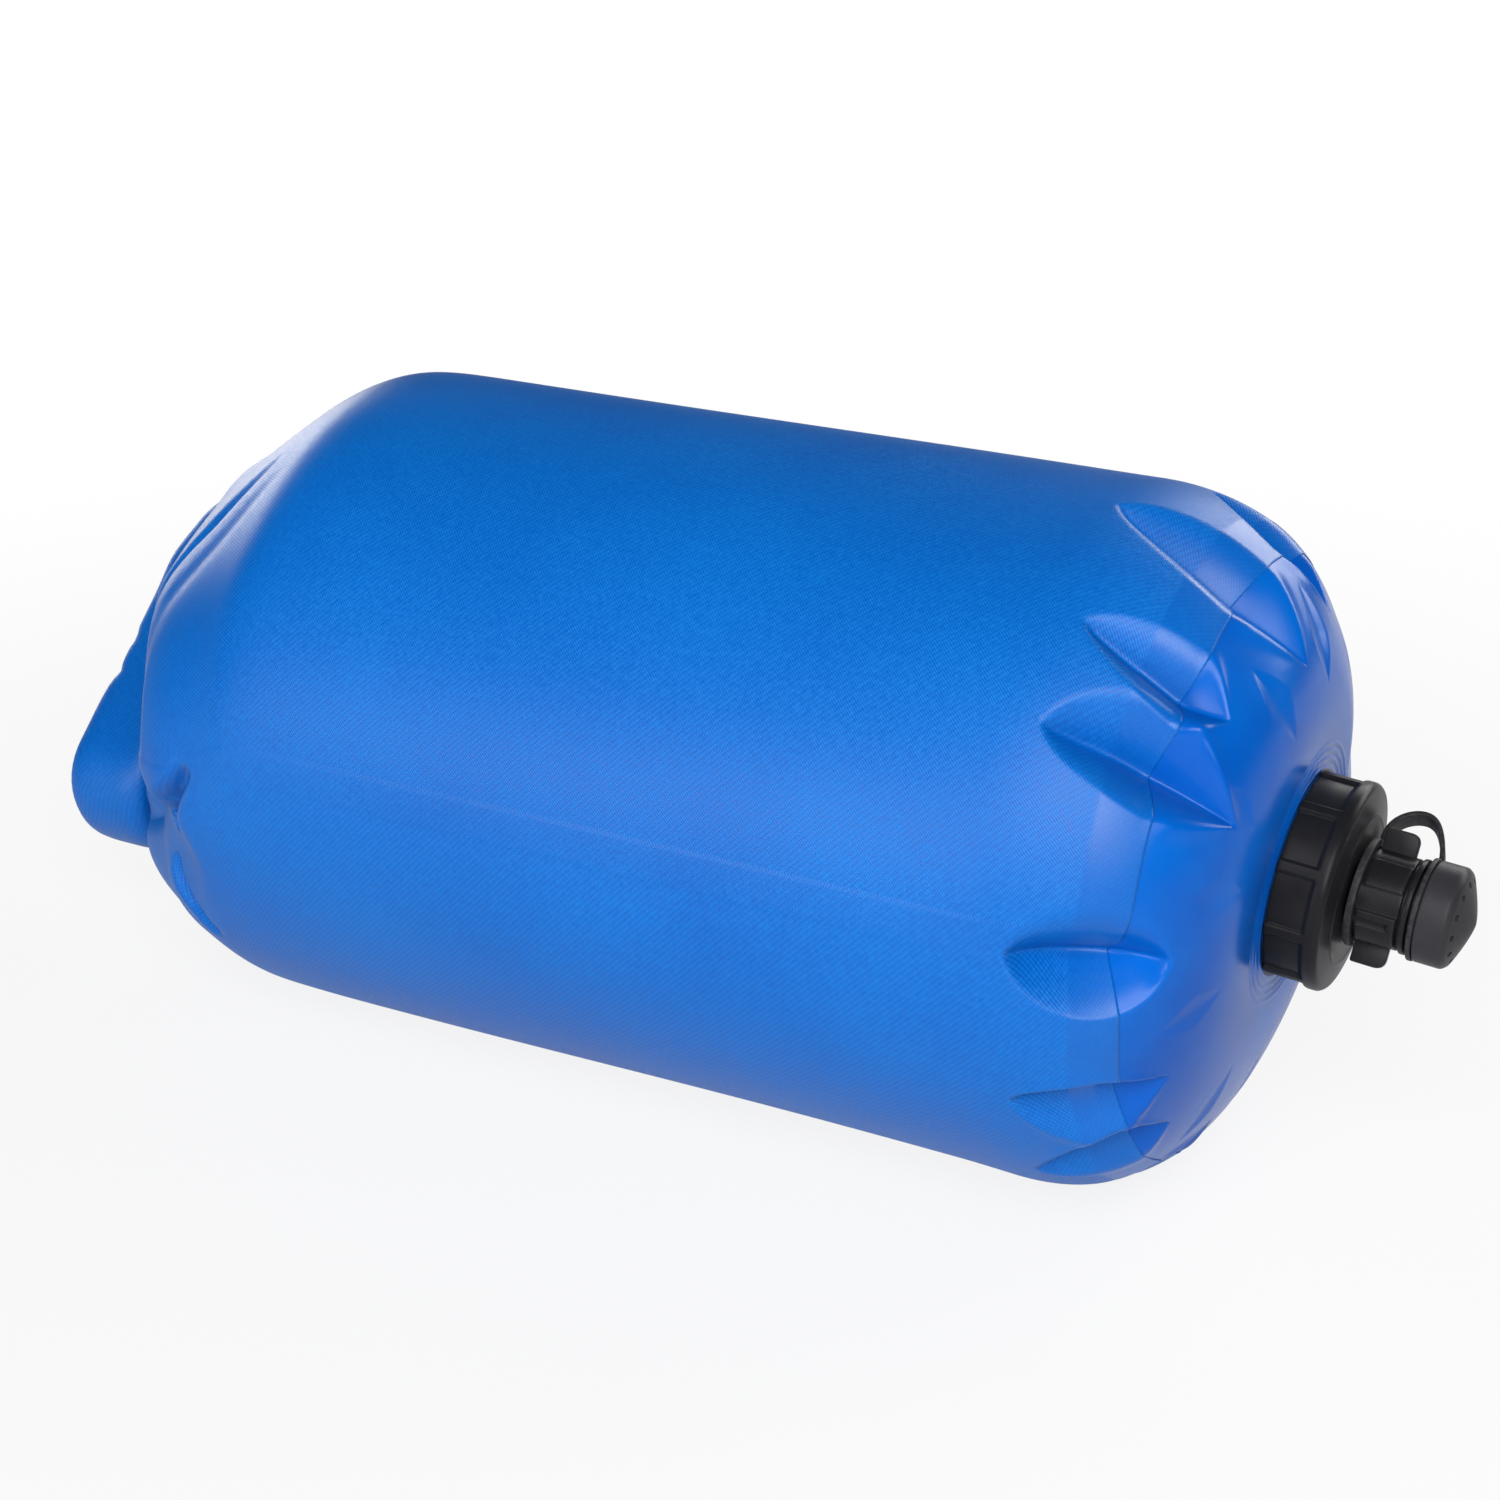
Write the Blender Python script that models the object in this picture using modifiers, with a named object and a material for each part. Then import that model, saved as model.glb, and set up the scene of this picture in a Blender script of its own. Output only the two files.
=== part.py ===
"""Roll-top water sack lying on its side, with a screw cap, twist tap and shower head at its round base.

Metres, +Z up. +X runs from the rolled closure to the shower head, and the sack rests on z = 0.
The bag frame has its origin on the sack's axis, at the cut edge of the wall where it is welded to the base.
The valve frame has +Z along the valve's axis, from the base panel outwards.
The closure frame has +Y along the roll, and the buckle hangs below the roll towards -Z.
"""

import math

import bmesh
import bpy
from mathutils import Matrix, Vector

MM = 0.001

# Clearances between touching pieces
GAP = 0.3 * MM
WELD_GAP = 0.5 * MM
EMBED = 0.4 * MM
MERGE = 0.01 * MM
SMOOTH_ANGLE = math.radians(35)

# Sack body
BAG_RADIUS = 100 * MM
BODY_LENGTH = 276 * MM
SAG = 6 * MM
FABRIC = 0.8 * MM
BAG_SIDES = 40

# Closing wedge between the round body and the roll
WEDGE_LENGTH = 72 * MM
LOWER_WEDGE = 54 * MM
WEDGE_NECK = 6 * MM
NECK_HALF_WIDTH = 47 * MM
MOUTH_HALF_WIDTH = 41 * MM
NECK_HALF_THICKNESS = 6 * MM
MOUTH_HALF_THICKNESS = 3.4 * MM
WEDGE_UPPER_CLOSING = 0.53
WEDGE_LOWER_CLOSING = 0.8
WEDGE_FAR_NARROWING = 0.85
WEDGE_NEAR_NARROWING = 0.33
MOUTH_SQUARENESS = 6.0
WEDGE_RINGS = 8

# Round base
SHOULDER_LENGTH = 40 * MM
DOME_HEIGHT = 17.5 * MM
DOME_FULLNESS = 2.1
WELD_WIDTH = 16 * MM
FLAT_RADIUS = 40 * MM
SHOULDER_RINGS = 2
WELD_RINGS = 2
DOME_RINGS = 5

# Valve place: the soft base lets the valve droop and sit a little off the sack's axis
VALVE_DROOP = math.radians(5)
VALVE_OFFSET = -5 * MM
VALVE_RISE = 1.9 * MM

# Spout moulding
FLANGE_RADIUS = 37 * MM
FLANGE_THICKNESS = 2 * MM
NECK_RADIUS = 24 * MM
NECK_WALL = 2.5 * MM
NECK_HEIGHT = 11.6 * MM
THREAD_PITCH = 5 * MM
THREAD_ROD = 1.3 * MM
THREAD_TURNS = 1.25
THREAD_START = 3.6 * MM
THREAD_LEAD_IN = 0.3
COLLAR_RADIUS = 29.8 * MM
COLLAR_HEIGHT = 0.9 * MM

# Screw cap
CAP_RADIUS = 29.2 * MM
CAP_HEIGHT = 16.2 * MM
CAP_RIM_HEIGHT = 13.6 * MM
CAP_RIM_WIDTH = 3 * MM
CAP_PANEL_DEPTH = 1 * MM
CAP_BORE_CLEARANCE = 2 * MM
CAP_PLATE = 3.4 * MM
CAP_FACE_RADIUS = 21 * MM
CAP_RIBS = 10
CAP_RIB_WIDTH = 3 * MM
CAP_RIB_ANGLE = math.radians(26)
GASKET_THICKNESS = 2 * MM

# Valve stem fixed in the cap
STEM_RADIUS = 6.75 * MM
STEM_BORE = 4.5 * MM
STEM_FLANGE_WIDTH = 2.5 * MM
STEM_FLANGE_THICKNESS = 1 * MM
STEM_SEAL_THICKNESS = 0.8 * MM
STEM_HEIGHT = 9.8 * MM
STEM_PORT_HEIGHT = 1.6 * MM
STEM_PORT_WIDTH = 4 * MM
STEM_END = 1 * MM
PIN_RADIUS = 3.4 * MM
PIN_LENGTH = 5 * MM
PIN_TIP = 1 * MM

# Tap sleeve that turns and lifts on the stem
TAP_STANDOFF = 0.6 * MM
TAP_CLEARANCE = 0.36 * MM
TAP_RADIUS = 12.7 * MM
TAP_BODY = 13.8 * MM
TAP_SKIRT = 4.2 * MM
TAP_GROOVE_DEPTH = 1.3 * MM
TAP_GROOVE = 0.8 * MM
TAP_LIP_RADIUS = 13.2 * MM
TAP_LIP = 1.6 * MM
TAP_CHAMBER = 1.6 * MM
TAP_SEAT = 2.2 * MM
TAP_PAD_RISE = 0.8 * MM
TAP_NARROW_PAD = (math.radians(16), math.radians(55))
TAP_WIDE_PAD = (math.radians(84), math.radians(132))
TAP_PAD_STEPS = 6
SPOUT_RADIUS = 11 * MM
SPOUT_BORE = 6.5 * MM
SPOUT_LENGTH = 6.8 * MM
WING_SPAN = 6 * MM
WING_LENGTH = 9.5 * MM
WING_THICKNESS = 2.6 * MM
WING_CORNER = 2.5 * MM
WING_ANGLE = math.radians(155)
SEAL_ROD = 0.7 * MM
SEAL_GROOVE = 2.2 * MM

# Shower head pushed on the tap's spout
HEAD_RADIUS = 14 * MM
HEAD_BODY = 7.4 * MM
HEAD_EDGE = 1.2 * MM
HEAD_CONE = 4.4 * MM
HEAD_WALL = 1.8 * MM
HEAD_SEAT = 2 * MM
HEAD_SEAT_DEPTH = 1.1 * MM
HEAD_HOLES = 12
HEAD_HOLE_RADIUS = 0.55 * MM
HEAD_HOLE_CIRCLE = 10.4 * MM

# Tether between the tap and the shower head
TETHER_WIDTH = 4.8 * MM
TETHER_THICKNESS = 1.4 * MM
TETHER_RING = 2 * MM
TETHER_REACH = 12 * MM
TETHER_LEAN = 0.12
TETHER_STEPS = 16
TETHER_ANGLE = math.radians(128)

# Rolled closure and its loop
ROLL_ANGLE = math.radians(42)
ROLL_SHIFT = -2 * MM
ROLL_WIDTH = 32 * MM
ROLL_THICKNESS = 12 * MM
ROLL_STRAIGHT = 84 * MM
BEND_RADIUS = 18 * MM
ROLL_ARM = 8 * MM
ROLL_PLY = 1.3 * MM
ROLL_STEP = 1.8 * MM
ROLL_TURNS = 1.5
ROLL_START = 0.3
ROLL_TURN_POINTS = 14
ROLL_EDGE_POWER = 0.5
ROLL_FACE_POWER = 0.8
BEND_STEPS = 6
STIFFENER_THICKNESS = 1.2 * MM

# Side-release buckle and its webbing
WEBBING_WIDTH = 17 * MM
WEBBING_PLY = 1.3 * MM
BUCKLE_WIDTH = 26 * MM
BUCKLE_HALF_LENGTH = 29 * MM
BUCKLE_THICKNESS = 8.8 * MM
BUCKLE_WALL = 2 * MM
BUCKLE_BAR = 3.5 * MM
BUCKLE_BAR_THICKNESS = 3.6 * MM
BUCKLE_SLOT = 6 * MM
BUCKLE_MOUTH = 4 * MM
BUCKLE_SKIN = 1.8 * MM
BUCKLE_BEVEL = 1 * MM
MALE_THICKNESS = 7.2 * MM
CATCH_START = 3 * MM
CATCH_LENGTH = 10 * MM
PRONG_END_ROOM = 4 * MM
PRONG_THICKNESS = 4 * MM
PRONG_WIDTH = 3.5 * MM
PRONG_INNER = 6 * MM
PRONG_ROOT_GAP = 0.8 * MM
PRONG_BARB = 2.6 * MM
TONGUE_WIDTH = 4.8 * MM
TONGUE_LENGTH = 18 * MM

ROUND_SIDES = 36
SMALL_SIDES = 24
SEAL_SIDES = 6

# Places that follow from the sizes
AXIS_HEIGHT = BAG_RADIUS - SAG
PANEL_INSET = FABRIC + WELD_GAP
SHOULDER_REACH = SHOULDER_LENGTH + DOME_HEIGHT + PANEL_INSET
ROLL_X = -(BODY_LENGTH + WEDGE_LENGTH + WEDGE_NECK + GAP + ROLL_WIDTH / 2)
CAP_BASE = COLLAR_HEIGHT + 2 * GAP
CAP_TOP = CAP_BASE + CAP_HEIGHT
CAP_CEILING = CAP_TOP - CAP_PLATE
CAP_BORE = NECK_RADIUS + CAP_BORE_CLEARANCE
STEM_BASE = CAP_CEILING + GAP
STEM_TOP = CAP_TOP + STEM_HEIGHT
TAP_BASE = CAP_TOP + TAP_STANDOFF
TAP_BODY_TOP = TAP_BASE + TAP_BODY
TAP_LIP_BASE = TAP_BODY_TOP + TAP_GROOVE
TAP_LIP_TOP = TAP_LIP_BASE + TAP_LIP
TAP_TOP = TAP_LIP_TOP + SPOUT_LENGTH
TAP_BORE = STEM_RADIUS + TAP_CLEARANCE
TAP_SEAT_TOP = STEM_TOP + STEM_END + PIN_LENGTH + GAP
SEAL_TRACK = STEM_RADIUS + GAP + SEAL_ROD
HEAD_BASE = TAP_LIP_TOP + 2 * GAP
HEAD_BORE = SPOUT_RADIUS + GAP
HEAD_TOP = HEAD_BASE + HEAD_SEAT + HEAD_BODY + HEAD_EDGE + HEAD_CONE
TETHER_RING_BASE = TAP_BASE + GAP
WING_BASE = TETHER_RING_BASE + TETHER_RING + GAP
BUCKLE_Z = -2 * BEND_RADIUS
BACK_END = ROLL_X - ROLL_WIDTH / 2
FRONT_END = DOME_HEIGHT + HEAD_TOP * math.cos(VALVE_DROOP)
BAG_SHIFT = -(BACK_END + FRONT_END) / 2


# Scene set-up and materials

def clear_scene():
    """Remove every object of the scene."""
    for item in list(bpy.data.objects):
        bpy.data.objects.remove(item, do_unlink=True)


def new_collection(name):
    """Return a collection linked to the scene."""
    collection = bpy.data.collections.new(name)
    bpy.context.scene.collection.children.link(collection)
    return collection


def new_material(name, colour, roughness, metallic=0.0):
    """Return a Principled material of one colour."""
    material = bpy.data.materials.new(name)
    material.use_nodes = True
    shader = material.node_tree.nodes["Principled BSDF"]
    shader.inputs["Base Color"].default_value = (*colour, 1.0)
    shader.inputs["Roughness"].default_value = roughness
    shader.inputs["Metallic"].default_value = metallic
    return material


def new_empty(name, parent, location, rotation=(0.0, 0.0, 0.0)):
    """Return an empty that carries a group of pieces."""
    empty = bpy.data.objects.new(name, None)
    parts.objects.link(empty)
    empty.parent = parent
    empty.location = location
    empty.rotation_euler = rotation
    return empty


clear_scene()
parts = new_collection("water_sack")
cutters = new_collection("cutters")

NYLON = new_material("coated_nylon_blue", (0.0, 0.12, 0.62), 0.45)
FILM = new_material("base_film_blue", (0.0, 0.13, 0.66), 0.2)
ROLLED = new_material("rolled_nylon_blue", (0.0, 0.11, 0.58), 0.45)
BLACK = new_material("black_plastic", (0.012, 0.012, 0.013), 0.4)
GREY = new_material("grey_plastic", (0.03, 0.03, 0.032), 0.45)
RUBBER = new_material("seal_rubber", (0.02, 0.02, 0.02), 0.7)
WEBBING = new_material("black_webbing", (0.015, 0.015, 0.016), 0.8)
STRIP = new_material("stiffener_plastic", (0.6, 0.6, 0.58), 0.5)


# Mesh helpers

def finish(name, mesh, parent, material):
    """Make a shaded object from a mesh and place it under its parent."""
    item = bpy.data.objects.new(name, mesh)
    parts.objects.link(item)
    item.parent = parent
    if material:
        mesh.materials.append(material)
    mesh.shade_smooth()
    mesh.set_sharp_from_angle(angle=SMOOTH_ANGLE)
    return item


def as_cutter(item):
    """Mark an object as a guide that is only used by Boolean modifiers."""
    item.hide_render = True
    item.display_type = "WIRE"
    for collection in list(item.users_collection):
        collection.objects.unlink(item)
    cutters.objects.link(item)
    return item


def boolean(target, operand, operation):
    """Add an exact Boolean of the operand to the target."""
    modifier = target.modifiers.new(operation.lower(), "BOOLEAN")
    modifier.operation = operation
    modifier.solver = "EXACT"
    modifier.object = as_cutter(operand)


def loft_shell(name, rings, material):
    """Skin rings of points one after another and the last back to the first, as a shell with walls."""
    mesh = bpy.data.meshes.new(name)
    bm = bmesh.new()
    loops = [[bm.verts.new(point) for point in ring] for ring in rings]
    for here, there in zip(loops, loops[1:] + loops[:1]):
        for index in range(len(here)):
            following = (index + 1) % len(here)
            bm.faces.new((here[index], here[following], there[following], there[index]))
    bmesh.ops.triangulate(bm, faces=bm.faces, quad_method="SHORT_EDGE")
    bmesh.ops.recalc_face_normals(bm, faces=bm.faces)
    bm.to_mesh(mesh)
    bm.free()
    return finish(name, mesh, bag_frame, material)


def sweep(name, outline, stations, parent, material):
    """Carry a closed outline along stations, which turn outline points into places, and cap the ends."""
    mesh = bpy.data.meshes.new(name)
    bm = bmesh.new()
    loops = [[bm.verts.new(place(*point)) for point in outline] for place in stations]
    for here, there in zip(loops, loops[1:]):
        for index in range(len(here)):
            following = (index + 1) % len(here)
            bm.faces.new((here[index], here[following], there[following], there[index]))
    bm.faces.new(loops[0])
    bm.faces.new(loops[-1])
    bmesh.ops.recalc_face_normals(bm, faces=bm.faces)
    bm.to_mesh(mesh)
    bm.free()
    return finish(name, mesh, parent, material)


def turned(name, profile, parent, material, sides=ROUND_SIDES):
    """Turn a profile of (radius, height) points round local Z, closed unless it starts on the axis."""
    closed = profile[0][0] > 0
    loop = zip(profile, profile[1:] + profile[:1])
    if sum(a[0] * b[1] - b[0] * a[1] for a, b in loop) > 0:
        profile = profile[::-1]
    count = len(profile)
    edges = [(index, (index + 1) % count) for index in range(count if closed else count - 1)]
    mesh = bpy.data.meshes.new(name)
    mesh.from_pydata([(radius, 0.0, height) for radius, height in profile], edges, [])
    item = finish(name, mesh, parent, material)
    screw = item.modifiers.new("turn", "SCREW")
    screw.axis = "Z"
    screw.steps = sides
    screw.render_steps = sides
    screw.use_merge_vertices = True
    screw.merge_threshold = MERGE
    screw.use_smooth_shade = True
    return item


def mesh_from_curve(name, curve, parent, material):
    """Turn a curve into a welded mesh object."""
    source = bpy.data.objects.new(name + "_curve", curve)
    parts.objects.link(source)
    evaluated = source.evaluated_get(bpy.context.evaluated_depsgraph_get())
    mesh = bpy.data.meshes.new_from_object(evaluated)
    bpy.data.objects.remove(source, do_unlink=True)
    bm = bmesh.new()
    bm.from_mesh(mesh)
    bmesh.ops.remove_doubles(bm, verts=bm.verts, dist=MERGE)
    bmesh.ops.recalc_face_normals(bm, faces=bm.faces)
    bm.to_mesh(mesh)
    bm.free()
    mesh.materials.clear()
    return finish(name, mesh, parent, material)


def plate(name, outlines, thickness, parent, material, matrix=Matrix()):
    """Extrude flat outlines in local XY, the first with the others as holes, and place them by a matrix."""
    curve = bpy.data.curves.new(name, "CURVE")
    curve.dimensions = "2D"
    curve.fill_mode = "BOTH"
    curve.extrude = thickness / 2
    for outline in outlines:
        spline = curve.splines.new("POLY")
        spline.points.add(len(outline) - 1)
        for point, (x, y) in zip(spline.points, outline):
            point.co = (x, y, 0.0, 1.0)
        spline.use_cyclic_u = True
    item = mesh_from_curve(name, curve, parent, material)
    item.data.transform(matrix)
    return item


def block(name, lower, upper, parent, material=None):
    """Return a box between two corners."""
    mesh = bpy.data.meshes.new(name)
    bm = bmesh.new()
    size = Vector(upper) - Vector(lower)
    middle = (Vector(upper) + Vector(lower)) / 2
    bmesh.ops.create_cube(bm, size=1.0, matrix=Matrix.Translation(middle) @ Matrix.Diagonal(size).to_4x4())
    bm.to_mesh(mesh)
    bm.free()
    return finish(name, mesh, parent, material)


def ring_of_blocks(name, count, inner, outer, width, low, high, parent, turn=0.0):
    """Return boxes evenly spaced round local Z, as one guide mesh."""
    mesh = bpy.data.meshes.new(name)
    bm = bmesh.new()
    middle = Matrix.Translation(((inner + outer) / 2, 0.0, (low + high) / 2))
    size = Matrix.Diagonal((outer - inner, width, high - low)).to_4x4()
    for index in range(count):
        spin = Matrix.Rotation(turn + 2 * math.pi * index / count, 4, "Z")
        bmesh.ops.create_cube(bm, size=1.0, matrix=spin @ middle @ size)
    bm.to_mesh(mesh)
    bm.free()
    return finish(name, mesh, parent, None)


def helix(name, radius, start, first_turn, turns, parent):
    """Return a right-hand thread ridge of round section, as a guide mesh."""
    curve = bpy.data.curves.new(name, "CURVE")
    curve.dimensions = "3D"
    curve.bevel_depth = THREAD_ROD
    curve.bevel_resolution = 1
    curve.use_fill_caps = True
    count = round(turns * SMALL_SIDES) + 1
    spline = curve.splines.new("POLY")
    spline.points.add(count - 1)
    for index, point in enumerate(spline.points):
        turn = first_turn + turns * index / (count - 1)
        angle = 2 * math.pi * turn
        height = start + THREAD_PITCH * turn
        point.co = (radius * math.cos(angle), radius * math.sin(angle), height, 1.0)
    return mesh_from_curve(name, curve, parent, None)


def seal_ring(name, track, rod, height, parent):
    """Return a round-section rubber ring."""
    section = [2 * math.pi * index / SEAL_SIDES for index in range(SEAL_SIDES)]
    profile = [(track + rod * math.cos(angle), height + rod * math.sin(angle)) for angle in section]
    return turned(name, profile, parent, RUBBER, SMALL_SIDES)


# Sack body and base

def signed_power(value, power):
    """Raise the size of a value to a power and keep its sign."""
    return math.copysign(abs(value) ** power, value)


def section_ring(x, reach, squareness=2.0, inset=0.0, droop=0.0):
    """Return one ring of the sack, pressed flat where it meets the ground.

    reach gives how far it goes along the roll to the far and near side, and across the roll up and down.
    """
    far, near, upper, lower = reach
    ring = []
    for index in range(BAG_SIDES):
        angle = 2 * math.pi * index / BAG_SIDES
        side = far if math.cos(angle) > 0 else near
        height = upper if math.sin(angle) > 0 else lower
        along = (side - inset) * signed_power(math.cos(angle), 2 / squareness)
        over = (height - inset) * signed_power(math.sin(angle), 2 / squareness)
        y = along * math.cos(ROLL_ANGLE) - over * math.sin(ROLL_ANGLE) + droop * VALVE_OFFSET
        z = along * math.sin(ROLL_ANGLE) + over * math.cos(ROLL_ANGLE)
        lean = droop * z * math.tan(VALVE_DROOP)
        ring.append((x + lean, y, max(z + droop * VALVE_RISE, inset - AXIS_HEIGHT)))
    return ring


def round_ring(x, radius, inset=0.0, droop=0.0):
    """Return one round ring of the sack."""
    return section_ring(x, (radius, radius, radius, radius), inset=inset, droop=droop)


def opened(neck, share, power):
    """Return how far the wedge reaches from its axis, between its neck at 0 and the round body at 1."""
    return neck + (BAG_RADIUS - neck) * share ** power


def wedge_ring(share, inset):
    """Return a ring of the closing wedge, from the neck at 0 to the body at 1. Its top closes first."""
    lower_share = min(share * WEDGE_LENGTH / LOWER_WEDGE, 1.0)
    reach = (
        opened(NECK_HALF_WIDTH + ROLL_SHIFT, lower_share, WEDGE_FAR_NARROWING),
        opened(NECK_HALF_WIDTH - ROLL_SHIFT, lower_share, WEDGE_NEAR_NARROWING),
        opened(NECK_HALF_THICKNESS, share, WEDGE_UPPER_CLOSING),
        opened(NECK_HALF_THICKNESS, lower_share, WEDGE_LOWER_CLOSING),
    )
    squareness = 2 + (MOUTH_SQUARENESS - 2) * (1 - lower_share) ** 4
    return section_ring(-BODY_LENGTH - WEDGE_LENGTH * (1 - share), reach, squareness, inset)


def shoulder_point(angle, inset):
    """Return a point (x, radius) of the rounded base at an angle from the wall, moved inwards by an inset."""
    spread = BAG_RADIUS - FLAT_RADIUS
    across = math.cos(angle) ** (2 / DOME_FULLNESS)
    forward = math.sin(angle) ** (2 / DOME_FULLNESS)
    slope = Vector((forward ** (DOME_FULLNESS - 1) / SHOULDER_REACH, across ** (DOME_FULLNESS - 1) / spread))
    slope.normalize()
    x = SHOULDER_REACH * forward - SHOULDER_LENGTH - inset * slope.x
    return x, FLAT_RADIUS + spread * across - inset * slope.y


def shoulder_angle(x):
    """Return the angle at which the rounded base's outer outline reaches a place along the axis."""
    return math.asin(((x + SHOULDER_LENGTH) / SHOULDER_REACH) ** (DOME_FULLNESS / 2))


def shoulder_rings(first, last, count, inset):
    """Return rings of the rounded base at even angles from first to last, with count steps."""
    rings = []
    for index in range(count + 1):
        angle = first + (last - first) * index / count
        x, radius = shoulder_point(angle, inset)
        rings.append(round_ring(x, radius + inset, inset, math.sin(angle) ** 2))
    return rings


def wall_rings(inset):
    """Return the wall's rings from the mouth to the cut edge at the base."""
    reach = (
        MOUTH_HALF_WIDTH + ROLL_SHIFT, MOUTH_HALF_WIDTH - ROLL_SHIFT,
        MOUTH_HALF_THICKNESS, MOUTH_HALF_THICKNESS,
    )
    mouth = section_ring(-BODY_LENGTH - WEDGE_LENGTH - WEDGE_NECK, reach, MOUTH_SQUARENESS, inset)
    wedge = [wedge_ring((index / WEDGE_RINGS) ** 2, inset) for index in range(WEDGE_RINGS + 1)]
    middle = round_ring(-(BODY_LENGTH + SHOULDER_LENGTH) / 2, BAG_RADIUS, inset)
    weld = shoulder_angle(-WELD_WIDTH)
    shoulder = shoulder_rings(0.0, weld, SHOULDER_RINGS, inset)
    overlap = shoulder_rings(weld, shoulder_angle(0.0), WELD_RINGS, inset)
    return [mouth] + wedge + [middle] + shoulder + overlap[1:]


def make_bag_wall():
    """Woven tube: round body, closing wedge and the shoulder that is welded over the base panel."""
    loft_shell("bag_wall", wall_rings(0.0) + wall_rings(FABRIC)[::-1], NYLON)


def make_base_panel():
    """Domed round panel whose rim lies inside the wall and whose middle has the spout's hole."""
    weld = shoulder_angle(-WELD_WIDTH)
    edge = shoulder_angle(0.0)
    hole_radius = NECK_RADIUS + GAP
    sides = []
    for inset in (PANEL_INSET, PANEL_INSET + FABRIC):
        rim = shoulder_rings(weld, edge, WELD_RINGS, inset)
        dome = shoulder_rings(edge, math.pi / 2, DOME_RINGS, inset)
        hole = round_ring(DOME_HEIGHT + PANEL_INSET - inset, hole_radius, droop=1.0)
        sides.append(rim + dome[1:] + [hole])
    loft_shell("base_panel", sides[0] + sides[1][::-1], FILM)


# Spout, cap and tap

def make_spout():
    """Flange welded inside the base panel, with a threaded neck through its hole."""
    flange_top = -(FABRIC + GAP)
    flange_base = flange_top - FLANGE_THICKNESS
    bore = NECK_RADIUS - NECK_WALL
    profile = [
        (bore, flange_base), (FLANGE_RADIUS, flange_base), (FLANGE_RADIUS, flange_top),
        (NECK_RADIUS, flange_top), (NECK_RADIUS, NECK_HEIGHT), (bore, NECK_HEIGHT),
    ]
    spout = turned("spout_neck", profile, valve_frame, BLACK)
    boolean(spout, helix("neck_thread", NECK_RADIUS, THREAD_START, 0.0, THREAD_TURNS, valve_frame), "UNION")


def make_spout_collar():
    """Thin trim ring round the neck, on the outside of the base panel."""
    inner = NECK_RADIUS + GAP
    profile = [
        (inner, GAP), (COLLAR_RADIUS, GAP), (COLLAR_RADIUS, GAP + COLLAR_HEIGHT / 2),
        (COLLAR_RADIUS - COLLAR_HEIGHT / 2, GAP + COLLAR_HEIGHT), (inner, GAP + COLLAR_HEIGHT),
    ]
    turned("spout_collar", profile, valve_frame, BLACK)


def make_cap_gasket():
    """Flat ring between the neck's rim and the cap."""
    low = NECK_HEIGHT + GAP
    inner = NECK_RADIUS - NECK_WALL - GAP
    outer = CAP_BORE - THREAD_ROD - GAP
    high = low + GASKET_THICKNESS
    turned("cap_gasket", [(inner, low), (outer, low), (outer, high), (inner, high)], valve_frame, RUBBER)


def make_screw_cap():
    """Ribbed cap with an inner thread and a stepped hole for the valve stem."""
    recess = CAP_RADIUS - CAP_PANEL_DEPTH
    rim_base = CAP_BASE + CAP_RIM_HEIGHT - CAP_RIM_WIDTH
    rim_top = CAP_BASE + CAP_RIM_HEIGHT
    face_edge = (CAP_RADIUS - CAP_PANEL_DEPTH, rim_top + (CAP_TOP - rim_top) / 2)
    hole = STEM_RADIUS + GAP
    counterbore = STEM_RADIUS + STEM_FLANGE_WIDTH + GAP
    step = STEM_BASE + STEM_FLANGE_THICKNESS + STEM_SEAL_THICKNESS + 2 * GAP
    profile = [
        (CAP_BORE, CAP_BASE), (recess, CAP_BASE), (recess, rim_base), (CAP_RADIUS, rim_base),
        (CAP_RADIUS, rim_top), face_edge, (CAP_FACE_RADIUS, CAP_TOP), (hole, CAP_TOP), (hole, step),
        (counterbore, step), (counterbore, CAP_CEILING), (CAP_BORE, CAP_CEILING),
    ]
    cap = turned("screw_cap", profile, valve_frame, BLACK)
    ribs = ring_of_blocks(
        "cap_ribs", CAP_RIBS, recess - EMBED, CAP_RADIUS, CAP_RIB_WIDTH, CAP_BASE + EMBED,
        rim_base + EMBED, valve_frame, CAP_RIB_ANGLE,
    )
    thread = helix(
        "cap_thread", CAP_BORE, THREAD_START - THREAD_PITCH / 2, THREAD_LEAD_IN, THREAD_TURNS, valve_frame
    )
    boolean(cap, ribs, "UNION")
    boolean(cap, thread, "UNION")


def make_valve_stem():
    """Hollow stem with side ports and a closing pin, seated in the cap from inside."""
    flange = STEM_RADIUS + STEM_FLANGE_WIDTH
    flange_top = STEM_BASE + STEM_FLANGE_THICKNESS
    pin_base = STEM_TOP + STEM_END
    pin_top = pin_base + PIN_LENGTH
    profile = [
        (0.0, STEM_TOP), (STEM_BORE, STEM_TOP), (STEM_BORE, STEM_BASE), (flange, STEM_BASE),
        (flange, flange_top), (STEM_RADIUS, flange_top), (STEM_RADIUS, STEM_TOP), (PIN_RADIUS, pin_base),
        (PIN_RADIUS, pin_top - PIN_TIP), (PIN_RADIUS - PIN_TIP, pin_top), (0.0, pin_top),
    ]
    stem = turned("valve_stem", profile, valve_frame, BLACK, SMALL_SIDES)
    port_top = STEM_TOP - GAP
    through = 2 * STEM_RADIUS
    narrow = STEM_PORT_WIDTH / 2
    for name, x, y in (("stem_port_x", through, narrow), ("stem_port_y", narrow, through)):
        port = block(name, (-x, -y, port_top - STEM_PORT_HEIGHT), (x, y, port_top), valve_frame)
        boolean(stem, port, "DIFFERENCE")


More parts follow.
